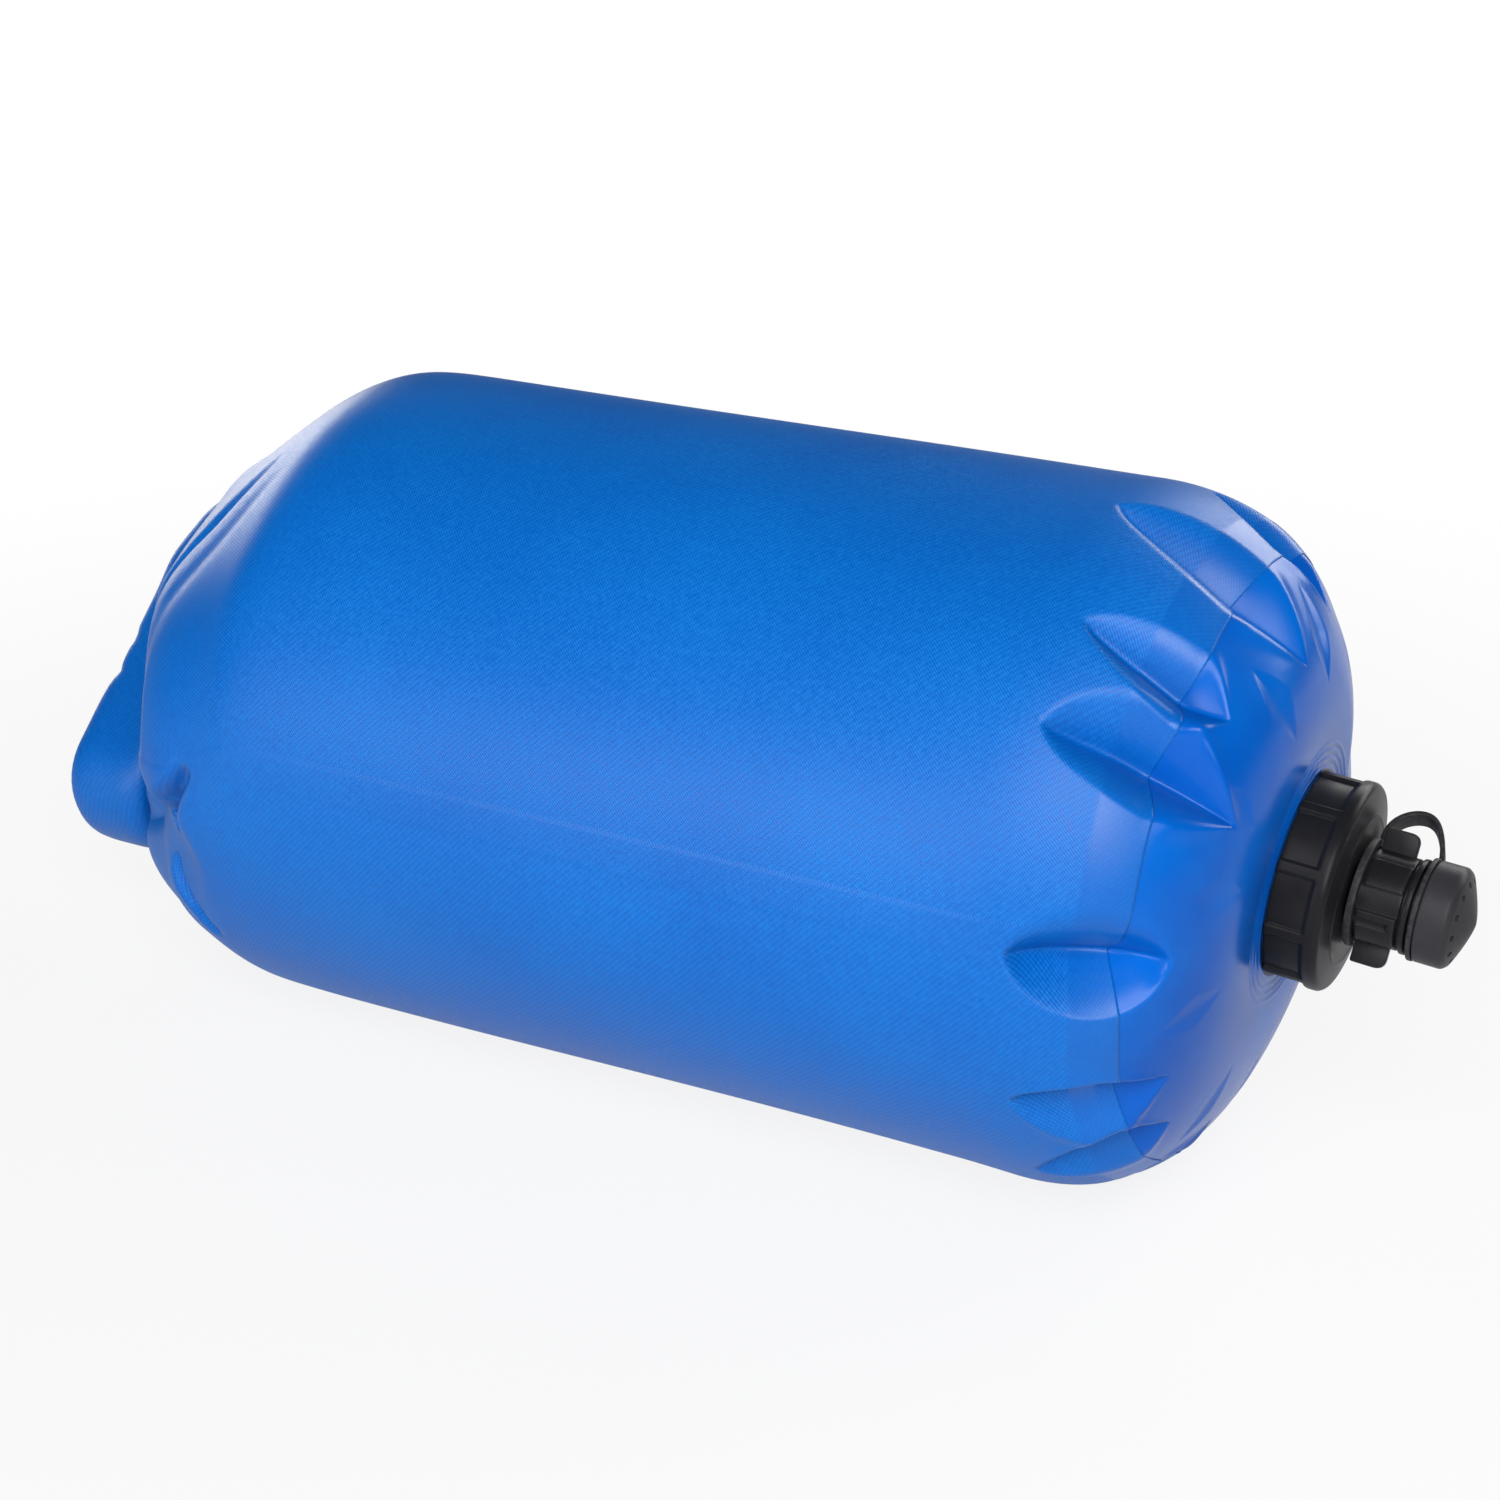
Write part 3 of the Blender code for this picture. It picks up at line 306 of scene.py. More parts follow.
@dataclass(frozen=True)
class GlossFilm:
    """Smooth glossy blue film of the base panel, with a slight orange peel."""

    name: str = "base_film"
    colour: Colour = (0.0, 0.082, 0.43)
    light: Colour = (0.0, 0.112, 0.5)
    blotch_size: float = 30.0
    peel_size: float = 2.2
    fine_size: float = 0.5
    peel_depth: float = 0.05
    roughness: float = 0.23
    specular: float = 0.2

    def material(self) -> bpy.types.Material:
        """Return the film as a material."""
        paint = Paint(bpy.data.materials.new(self.name))
        blotch = paint.noise(self.blotch_size, 3.0)
        peel = paint.noise(self.peel_size, 2.0)
        fine = paint.noise(self.fine_size, 1.0)
        return paint.surface({
            "Base Color": paint.blend(blotch.between(0.3, 0.75), self.colour, self.light),
            "Roughness": self.roughness + (blotch - 0.5) * 0.08 + (fine - 0.5) * 0.05,
            "Normal": paint.bump(peel * 0.8 + fine * 0.2, self.peel_depth, 0.5),
            "Specular IOR Level": self.specular,
        })


@dataclass(frozen=True)
class MouldedPlastic:
    """Moulded plastic with a fine eroded grain, slight flow clouds and rubbed edges."""

    name: str
    colour: Colour
    rubbed: Colour
    roughness: float
    grain_size: float = 0.35
    cloud_size: float = 9.0
    grain_depth: float = 0.03
    specular: float = 0.11

    def material(self) -> bpy.types.Material:
        """Return the plastic as a material."""
        paint = Paint(bpy.data.materials.new(self.name))
        grain = paint.noise(self.grain_size, 2.0)
        cloud = paint.noise(self.cloud_size, 3.0)
        edge = paint.node("ShaderNodeNewGeometry", output="Pointiness").between(0.51, 0.58)
        tint = paint.blend(edge * (0.4 + cloud * 0.6), self.colour, self.rubbed)
        worn = (grain * 0.4 + cloud * 0.6).between(0.35, 0.8) * 0.35
        return paint.surface({
            "Base Color": paint.blend(worn, tint, self.rubbed),
            "Roughness": self.roughness + (grain - 0.5) * 0.14 + (cloud - 0.5) * 0.1 - edge * 0.06,
            "Normal": paint.bump(grain, self.grain_depth, 0.45),
            "Specular IOR Level": self.specular,
        })


@dataclass(frozen=True)
class SoftRubber:
    """Soft black rubber with a dull bloom."""

    name: str
    colour: Colour
    bloom: Colour
    roughness: float
    dust_size: float = 1.6
    grain_size: float = 0.4
    grain_depth: float = 0.03
    specular: float = 0.15

    def material(self) -> bpy.types.Material:
        """Return the rubber as a material."""
        paint = Paint(bpy.data.materials.new(self.name))
        dust = paint.noise(self.dust_size, 4.0)
        grain = paint.noise(self.grain_size, 1.0)
        return paint.surface({
            "Base Color": paint.blend(dust.between(0.4, 0.8), self.colour, self.bloom),
            "Roughness": self.roughness + (dust - 0.5) * 0.2,
            "Normal": paint.bump(grain, self.grain_depth, 0.4),
            "Specular IOR Level": self.specular,
        })


@dataclass(frozen=True)
class WovenStrap:
    """Black webbing with ribs across it and herringbone threads along it."""

    name: str = "webbing"
    colour: Colour = (0.012, 0.012, 0.013)
    light: Colour = (0.04, 0.04, 0.043)
    rib: float = 1.1
    rib_depth: float = 0.3
    fuzz_size: float = 0.35
    roughness: float = 0.72
    specular: float = 0.3
    sheen: float = 0.2

    def material(self) -> bpy.types.Material:
        """Return the webbing as a material."""
        paint = Paint(bpy.data.materials.new(self.name))
        across, along = paint.cloth()
        pitch = TURN / (self.rib * MM)
        fold = (across * (pitch / 4)).sine()
        thread = (along * pitch + fold * 1.6).wave()
        cross = (across * (pitch * 1.5)).wave()
        fuzz = paint.noise(self.fuzz_size, 2.0)
        weave = thread * 0.6 + cross * 0.25 + fuzz * 0.3
        return paint.surface({
            "Base Color": paint.blend(weave.between(0.25, 1.0), self.colour, self.light),
            "Roughness": self.roughness + (fuzz - 0.5) * 0.2,
            "Normal": paint.bump(weave, self.rib_depth, 0.8),
            "Specular IOR Level": self.specular,
            "Sheen Weight": self.sheen,
        })


class Finish(Enum):
    """The finishes of the sack."""

    NYLON = CoatedNylon()
    FILM = GlossFilm()
    BLACK = MouldedPlastic("black_plastic", (0.01, 0.01, 0.012), (0.026, 0.026, 0.03), 0.34)
    GREY = MouldedPlastic("grey_plastic", (0.028, 0.028, 0.032), (0.05, 0.05, 0.055), 0.4)
    SEAL = SoftRubber("seal_rubber", (0.018, 0.018, 0.018), (0.04, 0.04, 0.04), 0.65)
    TETHER = SoftRubber("tether_rubber", (0.02, 0.02, 0.022), (0.045, 0.045, 0.048), 0.5)
    STRIP = MouldedPlastic("stiffener_plastic", (0.55, 0.55, 0.53), (0.66, 0.66, 0.64), 0.5)
    WEBBING = WovenStrap()

    @cache
    def material(self) -> bpy.types.Material:
        """Return the finish as a material, which is made once."""
        return self.value.material()


def dress(piece: Piece, finish: Finish, *nodes: str) -> None:
    """Give a new piece its finish, and let it stand for CAD nodes.

    Args:
        piece: The new piece.
        finish: Its finish.
        nodes: The CAD nodes that it replaces.
    """
    piece.data.materials.clear()
    piece.data.materials.append(finish.material())
    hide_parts(*nodes)


def add_piece(piece: Piece, finish: Finish, body: str, *nodes: str) -> None:
    """Dress a new piece and let it ride on a body.

    Args:
        piece: The new piece.
        finish: Its finish.
        body: The body that carries it.
        nodes: The CAD nodes that it replaces.
    """
    dress(piece, finish, *nodes)
    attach(piece, body)
    LOG.info("%s rides on %s", piece.name, body)


# Mesh makers

WELD_GAP = 0.0005
LEVEL_GAP = 1e-6
LEAST_NORMAL = 1e-9
SEAM_GAP = 0.01
CORNER_ROOM = 0.45
BEVEL_STEPS = 3
SHARP_ANGLE = math.radians(50)


def smooth_step(value: Array, low: float, high: float) -> Array:
    """Return 0 below low, 1 above high and a smooth rise between."""
    share = np.clip((value - low) / (high - low), 0.0, 1.0)
    return share * share * (3 - 2 * share)


def signed_power(value: Array, power: float) -> Array:
    """Raise the size of values to a power and keep their sign."""
    return np.sign(value) * np.abs(value) ** power


def wrapped(angle: Array) -> Array:
    """Return angles in radians between minus and plus half a turn."""
    return (angle + math.pi) % TURN - math.pi


def walked(line: Array) -> Array:
    """Return the distance along a line at each of its points."""
    return np.concatenate([[0.0], np.cumsum(np.linalg.norm(np.diff(line, axis=0), axis=1))])


def linked(name: str, data: bpy.types.ID) -> Piece:
    """Return a new object of the scene.

    Args:
        name: Name of the object.
        data: The mesh, camera or light that it holds.

    Returns:
        The object.
    """
    piece = bpy.data.objects.new(name, data)
    bpy.context.scene.collection.objects.link(piece)
    return piece


def new_piece(name: str, points: Array, faces: Sequence[Sequence[int]]) -> Piece:
    """Return a smooth-shaded mesh object.

    Args:
        name: Name of the piece.
        points: Its points in metres.
        faces: The points of each face, by number.

    Returns:
        The new piece.
    """
    mesh = bpy.data.meshes.new(name)
    mesh.from_pydata(points.reshape(-1, 3).tolist(), [], faces)
    mesh.shade_smooth()
    return linked(name, mesh)


def released(name: str, mesh: bmesh.types.BMesh) -> Piece:
    """Return a new object with the shape of an edit mesh.

    Args:
        name: Name of the piece.
        mesh: The edit mesh, which is freed.

    Returns:
        The new piece.
    """
    data = bpy.data.meshes.new(name)
    mesh.to_mesh(data)
    mesh.free()
    return linked(name, data)


def shaded(piece: Piece) -> Piece:
    """Shade a piece smooth except at its sharp edges.

    Args:
        piece: The piece.

    Returns:
        The same piece.
    """
    piece.data.shade_smooth()
    piece.data.set_sharp_from_angle(angle=SHARP_ANGLE)
    return piece


def skin(name: str, points: Array, flip: bool = False, cloth: Optional[Array] = None) -> Piece:
    """Return a mesh through a grid of closed rings.

    Args:
        name: Name of the piece.
        points: Rings by points, in metres.
        flip: Whether the faces turn the other way.
        cloth: Flat place of each grid point in metres, for the weave, with one more column than the rings.

    Returns:
        The new piece.
    """
    rows, columns = points.shape[:2]
    quad = np.arange((rows - 1) * columns)[:, None]
    row = quad // columns + np.array([0, 0, 1, 1])
    column = quad % columns + np.array([0, 1, 1, 0])
    if flip:
        row, column = row[:, ::-1], column[:, ::-1]
    piece = new_piece(name, points, (row * columns + column % columns).tolist())
    if cloth is not None:
        layer = piece.data.uv_layers.new(name="weave")
        layer.data.foreach_set("uv", cloth[row, column].reshape(-1).astype(np.float32))
    return piece


def rounded(corners: Sequence[Corner], steps: int = 4) -> Array:
    """Return a line through corners (x, y, rounding) whose corners are rounded.

    Args:
        corners: Places of the corners and how far their rounding starts from them.
        steps: Steps of each rounding.

    Returns:
        The points of the line.
    """
    line = []
    for index, (x, y, rounding) in enumerate(corners):
        corner = np.array([x, y])
        if rounding == 0 or index in (0, len(corners) - 1):
            line.append(corner)
            continue
        sides = [np.array(corners[index + side][:2]) - corner for side in (-1, 1)]
        room = min([rounding] + [CORNER_ROOM * np.linalg.norm(side) for side in sides])
        start, end = (corner + side / np.linalg.norm(side) * room for side in sides)
        for step in range(steps + 1):
            share = step / steps
            line.append((1 - share) ** 2 * start + 2 * share * (1 - share) * corner + share ** 2 * end)
    return np.array(line)


def refined(line: Array, spacing: float) -> Array:
    """Return a line with points added so that no step is longer than spacing.

    Args:
        line: The points of the line.
        spacing: Length of the longest step.

    Returns:
        The old and the new points.
    """
    points = [line[0]]
    for here, there in zip(line[:-1], line[1:]):
        count = max(1, math.ceil(np.linalg.norm(there - here) / spacing))
        points.extend(here + (there - here) * step / count for step in range(1, count + 1))
    return np.array(points)


def strap_section(width: float, thickness: float, rounding: float) -> Array:
    """Return the outline of a flat strap, from the middle of its inner face.

    Args:
        width: Width of the strap.
        thickness: Its thickness.
        rounding: Rounding of its edges.

    Returns:
        Points (across, outwards).
    """
    side = width / 2
    face = thickness / 2
    return rounded([
        (0.0, -face, 0.0), (side, -face, rounding), (side, face, rounding), (-side, face, rounding),
        (-side, -face, rounding), (-SEAM_GAP, -face, 0.0),
    ])


def lathe(name: str, place: Place, line: Array, sides: int, relief: Optional[Relief] = None) -> Piece:
    """Turn a line of (radius, height) points round the place's z axis.

    Args:
        name: Name of the piece.
        place: Place that it is turned in.
        line: The line, which goes up on the outside.
        sides: Number of points in a ring.
        relief: Change of the radius from angle, radius and height.

    Returns:
        The new piece.
    """
    angle = np.linspace(0.0, TURN, sides, endpoint=False)[None, :]
    radius = np.repeat(line[:, :1], sides, axis=1)
    height = np.repeat(line[:, 1:], sides, axis=1)
    if relief:
        radius = radius + relief(angle, radius, height)
    points = np.stack([radius * np.cos(angle), radius * np.sin(angle), height], axis=-1)
    return skin(name, place.metres(points))


def sweep(name: str, place: Place, outline: Array, stations: Sequence[Station]) -> Piece:
    """Carry a closed outline along stations.

    Args:
        name: Name of the piece.
        place: Place that the stations are in.
        outline: Points (across, outwards), one outline for all stations or one for each.
        stations: Origin, direction across and direction outwards of each place on the way.

    Returns:
        The new piece, with end faces and a weave by distance round and along it.
    """
    outlines = outline if outline.ndim == 3 else np.repeat(outline[None], len(stations), axis=0)
    origin, across, outwards = (np.array([station[part] for station in stations]) for part in range(3))
    points = origin[:, None] + outlines[..., :1] * across[:, None] + outlines[..., 1:] * outwards[:, None]
    around = np.array([walked(np.concatenate([ring, ring[:1]])) for ring in outlines])
    along = np.repeat(walked(points.mean(axis=1))[:, None], around.shape[1], axis=1)
    piece = skin(name, place.metres(points), cloth=np.stack([around, along], axis=-1) * MM)
    close_ends(piece, points.shape[1])
    return shaded(piece)


def close_ends(piece: Piece, ring: int) -> None:
    """Close the first and the last ring of a swept mesh, weld it and turn its faces outwards.

    Args:
        piece: The swept piece.
        ring: Number of points in a ring.
    """
    mesh = bmesh.new()
    mesh.from_mesh(piece.data)
    mesh.verts.ensure_lookup_table()
    for start in (0, len(mesh.verts) - ring):
        mesh.faces.new([mesh.verts[start + index] for index in range(ring)])
    bmesh.ops.remove_doubles(mesh, verts=mesh.verts, dist=WELD_GAP * MM)
    bmesh.ops.recalc_face_normals(mesh, faces=mesh.faces)
    mesh.to_mesh(piece.data)
    mesh.free()


def slab(name: str, place: Place, outline: Array, thickness: float, bevel: float, turn: Matrix) -> Piece:
    """Return a flat plate with rounded edges.

    Args:
        name: Name of the piece.
        place: Place that it is in.
        outline: Its outline in the plate's own plane.
        thickness: Its thickness.
        bevel: Rounding of its edges.
        turn: Matrix from the plate's plane into the place.

    Returns:
        The new piece.
    """
    mesh = bmesh.new()
    face = mesh.faces.new([mesh.verts.new((x, y, -thickness / 2)) for x, y in outline])
    raised = bmesh.ops.extrude_face_region(mesh, geom=[face])
    top = [item for item in raised["geom"] if isinstance(item, bmesh.types.BMVert)]
    bmesh.ops.translate(mesh, verts=top, vec=UP * thickness)
    rim = [edge for edge in mesh.edges if abs(edge.verts[0].co.z - edge.verts[1].co.z) < LEVEL_GAP]
    bmesh.ops.bevel(mesh, geom=rim, offset=bevel, segments=BEVEL_STEPS, affect="EDGES", profile=0.5)
    bmesh.ops.recalc_face_normals(mesh, faces=mesh.faces)
    mesh.transform(Matrix.Scale(MM, 4) @ place.matrix() @ turn)
    return shaded(released(name, mesh))


def joined(pieces: Sequence[Piece]) -> Piece:
    """Join pieces.

    Args:
        pieces: The pieces.

    Returns:
        The first one, which now holds all.
    """
    with bpy.context.temp_override(active_object=pieces[0], selected_editable_objects=list(pieces)):
        bpy.ops.object.join()
    return pieces[0]


def settled(piece: Piece) -> None:
    """Apply a piece's modifiers.

    Args:
        piece: The piece, which gets a new mesh.
    """
    depsgraph = bpy.context.evaluated_depsgraph_get()
    mesh = bpy.data.meshes.new_from_object(piece.evaluated_get(depsgraph))
    piece.modifiers.clear()
    piece.data = mesh


# Sack wall and base panel

class Tip(Enum):
    """How a pucker ends: the power and the fullness of its narrowing."""

    BLUNT = (2.0, 0.6)
    POINTED = (1.4, 1.0)


@dataclass(frozen=True)
class Pucker:
    """A dent across the base weld, from a tip on the wall to a tip on the panel.

    Each place is a bearing in degrees and a reach in millimetres. The valley lies between the rims by
    lean, from -1 at the lower rim to 1 at the upper rim. The rims stand up by brim on the wall and by lip on
    the stiffer film. The upper slope hangs over the valley by hang.
    """

    wall: Spot
    middle: Spot
    panel: Spot
    half_width: float
    depth: float
    lean: float = 0.0
    lip: float = 1.0
    brim: float = 0.0
    wall_tip: Tip = Tip.BLUNT
    panel_tip: Tip = Tip.POINTED
    valley: float = 0.08
    softness: float = 1.5
    hang: float = 0.0
    rim_width: float = 0.36
    least_span: float = 0.05
    cloth_end: float = -3.0
    film_start: float = 6.0

    def relief(self, bearing: Array, reach: Array, radius: Array) -> Array:
        """Return how far the skin moves out, which is negative in the dent.

        Args:
            bearing: Bearings of the points in radians.
            reach: Reaches of the points.
            radius: Distances of the points from the axis.

        Returns:
            The move of each point along its normal, in millimetres.
        """
        length = self.panel[1] - self.wall[1]
        share = np.clip((reach - self.wall[1]) / length, 0.0, 1.0)
        widest = (self.middle[1] - self.wall[1]) / length
        ends = [(widest - share) / widest, (share - widest) / (1 - widest)]
        width = np.ones_like(share)
        for end, tip in zip(ends, (self.wall_tip, self.panel_tip)):
            power, fullness = tip.value
            width = width * np.clip(1 - np.clip(end, 0.0, 1.0) ** power, 0.0, 1.0) ** fullness
        track = np.polyfit([0.0, widest, 1.0], [self.wall[0], self.middle[0], self.panel[0]], 2)
        centre = np.radians(np.polyval(track, share))
        side = wrapped(bearing - centre) * radius / np.maximum(self.half_width * width, self.least_span)
        upper = side > self.lean
        slope = np.where(upper, 1 - self.lean, 1 + self.lean)
        off = (np.sqrt((side - self.lean) ** 2 + self.valley ** 2) - self.valley) / slope
        dent = np.clip(1 - off, 0.0, 1.0) ** np.where(upper, self.softness + self.hang, self.softness)
        height = self.brim + (self.lip - self.brim) * smooth_step(reach, self.cloth_end, self.film_start)
        ridge = height * np.exp(-(((np.abs(side) - 1.0) / self.rim_width) ** 2))
        return (ridge - self.depth * dent) * width


@dataclass(frozen=True)
class Crease:
    """A folded line on the wall, with a groove along it and cloth raised on its left side.

    The path is given as bearings in degrees and reaches in millimetres.
    """

    path: tuple[Spot, ...]
    width: float
    depth: float
    rise: float = 0.0
    shoulder: float = 7.0

    def relief(self, bearing: Array, reach: Array, radius: float) -> Array:
        """Return how far the wall moves out along the crease.

        Args:
            bearing: Bearings of the points in radians.
            reach: Reaches of the points.
            radius: Radius that turns bearings into distances.

        Returns:
            The move of each point along its normal, in millimetres.
        """
        middle = math.radians(self.path[0][0])
        place = np.stack(np.broadcast_arrays(wrapped(bearing - middle) * radius, reach), axis=-1)
        line = np.array([(math.radians(turn) * radius - middle * radius, spot) for turn, spot in self.path])
        nearest = np.full(place.shape[:-1], np.inf)
        left = np.ones_like(nearest)
        passed = np.zeros_like(nearest)
        for index, (start, end) in enumerate(zip(line[:-1], line[1:])):
            run = end - start
            share = np.clip((place - start) @ run / (run @ run), 0.0, 1.0)
            gap = place - start - share[..., None] * run
            distance = np.linalg.norm(gap, axis=-1)
            closer = distance < nearest
            nearest = np.where(closer, distance, nearest)
            left = np.where(closer, np.sign(run[0] * gap[..., 1] - run[1] * gap[..., 0]), left)
            passed = np.where(closer, (index + share) / (len(line) - 1), passed)
        taper = np.sqrt(np.clip(4 * passed * (1 - passed), 0.0, 1.0))
        groove = self.depth * np.exp(-((nearest / self.width) ** 2))
        step = smooth_step(left * nearest, -0.4 * self.width, 0.8 * self.width)
        raised = self.rise * step * np.exp(-((nearest / self.shoulder) ** 2))
        return (raised - groove) * taper


@dataclass(frozen=True)
class Tuck:
    """A stretch of the wedge that is pulled along the sack and swells out of it.

    The pull is towards the valve if it is positive. Both are at their full size between two shares of the
    wedge, which run from 0 at its neck to 1 at the body.
    """

    bearing: float
    spread: float
    pull: float
    swell: float = 0.0
    first: float = 0.0
    grown: float = 0.12
    start: float = 0.45
    end: float = 0.95

    def moved(self, wedge: Array, bearing: Array, share: Array) -> Array:
        """Return rings of the wedge with this tuck in them.

        Args:
            wedge: Rings by points, in the bag place.
            bearing: Bearings of a ring's points in radians.
            share: Share of each ring.

        Returns:
            The moved rings.
        """
        off = np.clip(np.degrees(wrapped(bearing - math.radians(self.bearing))) / self.spread, -1.0, 1.0)
        along = smooth_step(share, self.first, self.grown) * (1 - smooth_step(share, self.start, self.end))
        size = along[:, None] * np.cos(off * math.pi / 2) ** 2
        out = wedge * np.array([0.0, 1.0, 1.0])
        out = out / np.linalg.norm(out, axis=2, keepdims=True)
        return wedge + size[..., None] * (np.array([self.pull, 0.0, 0.0]) + self.swell * out)


@dataclass(frozen=True)
class SackOutline:
    """The sack's skin without its dents: wedge, round body, shoulder and domed base."""

    radius: float = 100.0
    axis_height: float = 94.0
    body_length: float = 276.0
    wedge_length: float = 72.0
    lower_wedge: float = 54.0
    neck_half_width: float = 47.0
    neck_half_thickness: float = 6.0
    mouth_length: float = 6.0
    mouth_half_width: float = 41.0
    mouth_half_thickness: float = 3.4
    mouth_squareness: float = 6.0
    upper_closing: float = 0.5
    facet_start: float = 0.2
    facet_power: float = 0.92
    lower_closing: float = 0.8
    far_narrowing: float = 0.85
    near_narrowing: float = 0.33
    roll_angle: float = 42.0
    roll_shift: float = -2.0
    shoulder_length: float = 40.0
    shoulder_depth: float = 58.8
    flat_radius: float = 40.0
    fullness: float = 2.1
    valve_droop: float = 5.0
    valve_offset: float = -5.0
    valve_rise: float = 1.9
    ground_softness: float = 1.1
    base_samples: int = 600
    ring_samples: int = 2881

    def on_ground(self, height: Array) -> Array:
        """Return heights pressed softly against the ground."""
        lift = (height + self.axis_height) / self.ground_softness
        return self.ground_softness * np.logaddexp(0.0, lift) - self.axis_height

    def rings(self, bearing: Array, x: Array, radius: Array, droop: Array) -> Array:
        """Return round rings of the skin.

        Args:
            bearing: Bearings of a ring's points.
            x: Place of each ring along the axis.
            radius: Radius of each ring.
            droop: How far each ring follows the valve's droop, from 0 to 1.

        Returns:
            Rings by points, in the bag place.
        """
        x, radius, droop = (np.asarray(values)[:, None] for values in (x, radius, droop))
        across = -radius * np.cos(bearing) + droop * self.valve_offset
        height = radius * np.sin(bearing)
        lean = droop * height * math.tan(math.radians(self.valve_droop))
        return np.stack([x + lean, across, self.on_ground(height + droop * self.valve_rise)], axis=-1)

    def base_table(self) -> tuple[Array, Array, Array, Array]:
        """Return reach, place along the axis, radius and droop of the rounded base, from shoulder to flat."""
        angle = np.linspace(0.0, math.pi / 2, self.base_samples)
        x = self.shoulder_depth * np.sin(angle) ** (2 / self.fullness) - self.shoulder_length
        radius = self.flat_radius + (self.radius - self.flat_radius) * np.cos(angle) ** (2 / self.fullness)
        reach = walked(np.stack([x, radius], axis=-1))
        return reach - np.interp(0.0, x, reach), x, radius, np.sin(angle) ** 2

    def ring_radius(self, reach: Array) -> Array:
        """Return the radius of the round body, shoulder and base at given reaches."""
        table = self.base_table()
        return np.interp(reach, table[0], table[2])

    def base(self, bearing: Array, reach: Array) -> Array:
        """Return rings of the shoulder and the domed base.

        Args:
            bearing: Bearings of a ring's points.
            reach: Reach of each ring.

        Returns:
            Rings by points, in the bag place.
        """
        table = self.base_table()
        x, radius, droop = (np.interp(reach, table[0], column) for column in table[1:])
        return self.rings(bearing, x, radius, droop)

    def opened(self, neck: float, share: float, power: float) -> float:
        """Return how far the wedge reaches from its axis, between its neck at 0 and the body at 1."""
        return neck + (self.radius - neck) * share ** power

    def facet(self, share: float) -> float:
        """Return the reach of the wedge's upper side, which opens fast and then runs straight to the body.

        Args:
            share: Place on the wedge, from its neck at 0 to the body at 1.

        Returns:
            The distance from the axis.
        """
        if share < self.facet_start:
            return self.opened(self.neck_half_thickness, share, self.upper_closing)
        edge = self.opened(self.neck_half_thickness, self.facet_start, self.upper_closing)
        straight = (share - self.facet_start) / (1 - self.facet_start)
        return edge + (self.radius - edge) * straight ** self.facet_power

    def flat_ring(self, bearing: Array, x: float, spans: Sequence[float], squareness: float) -> Array:
        """Return one ring of the wedge with its points evenly spread.

        Args:
            bearing: Bearings that the points would have on a round ring.
            x: Place along the axis.
            spans: Reach along the roll to the far and near side, and across it up and down.
            squareness: 2 for an ellipse, more for a ring with corners.

        Returns:
            The ring's points in the bag place.
        """
        angle = np.linspace(0.0, TURN, self.ring_samples)
        far, near, upper, lower = spans
        along = np.where(np.cos(angle) > 0, far, near) * signed_power(np.cos(angle), 2 / squareness)
        over = np.where(np.sin(angle) > 0, upper, lower) * signed_power(np.sin(angle), 2 / squareness)
        distance = walked(np.stack([along, over], axis=-1))
        turn = math.radians(self.roll_angle)
        share = ((math.pi - turn - bearing) / TURN) % 1.0
        along, over = (np.interp(share * distance[-1], distance, line) for line in (along, over))
        across = along * math.cos(turn) - over * math.sin(turn)
        height = along * math.sin(turn) + over * math.cos(turn)
        return np.stack([np.full_like(across, x), across, self.on_ground(height)], axis=-1)

    def wedge(self, bearing: Array, share: float) -> Array:
        """Return a ring of the wedge.

        Args:
            bearing: Bearings that the points would have on a round ring.
            share: Place on the wedge, from its neck at 0 to the round body at 1.

        Returns:
            The ring's points in the bag place.
        """
        lower = min(share * self.wedge_length / self.lower_wedge, 1.0)
        spans = (
            self.opened(self.neck_half_width + self.roll_shift, lower, self.far_narrowing),
            self.opened(self.neck_half_width - self.roll_shift, lower, self.near_narrowing),
            self.facet(share),
            self.opened(self.neck_half_thickness, lower, self.lower_closing),
        )
        squareness = 2 + (self.mouth_squareness - 2) * (1 - lower) ** 4
        x = -self.body_length - self.wedge_length * (1 - share)
        return self.flat_ring(bearing, x, spans, squareness)

    def mouth(self, bearing: Array) -> Array:
        """Return the ring where the wedge goes into the roll.

        Args:
            bearing: Bearings that the points would have on a round ring.

        Returns:
            The ring's points in the bag place.
        """
        width, thickness = self.mouth_half_width, self.mouth_half_thickness
        spans = (width + self.roll_shift, width - self.roll_shift, thickness, thickness)
        x = -self.body_length - self.wedge_length - self.mouth_length
        return self.flat_ring(bearing, x, spans, self.mouth_squareness)


def seen_puckers() -> list[Pucker]:
    """Return the dents on the viewer's side of the base weld."""
    return [
        Pucker((84.0, -40.0), (79.5, -2.0), (80.5, 26.0), 13.5, 10.0),
        Pucker((56.5, -31.0), (53.0, -1.0), (51.5, 12.0), 11.0, 9.0, -0.1),
        Pucker((39.0, -32.0), (39.0, -3.0), (32.5, 26.0), 14.5, 13.0, -0.15),
        Pucker(
            (4.5, -31.0), (4.0, -9.0), (3.1, 14.0), 15.0, 15.0, -0.15,
            panel_tip=Tip.BLUNT, lip=0.2, softness=1.2, hang=0.8,
        ),
        Pucker((-22.8, -30.0), (-27.5, -6.0), (-26.6, 15.0), 12.0, 12.0, 0.45, brim=0.8),
        Pucker((-45.0, -30.0), (-42.5, -2.0), (-44.5, 12.0), 12.0, 10.0, 0.4, brim=0.8),
        Pucker((110.5, -31.0), (104.0, -4.0), (108.0, 18.0), 11.0, 8.0, 0.1),
    ]


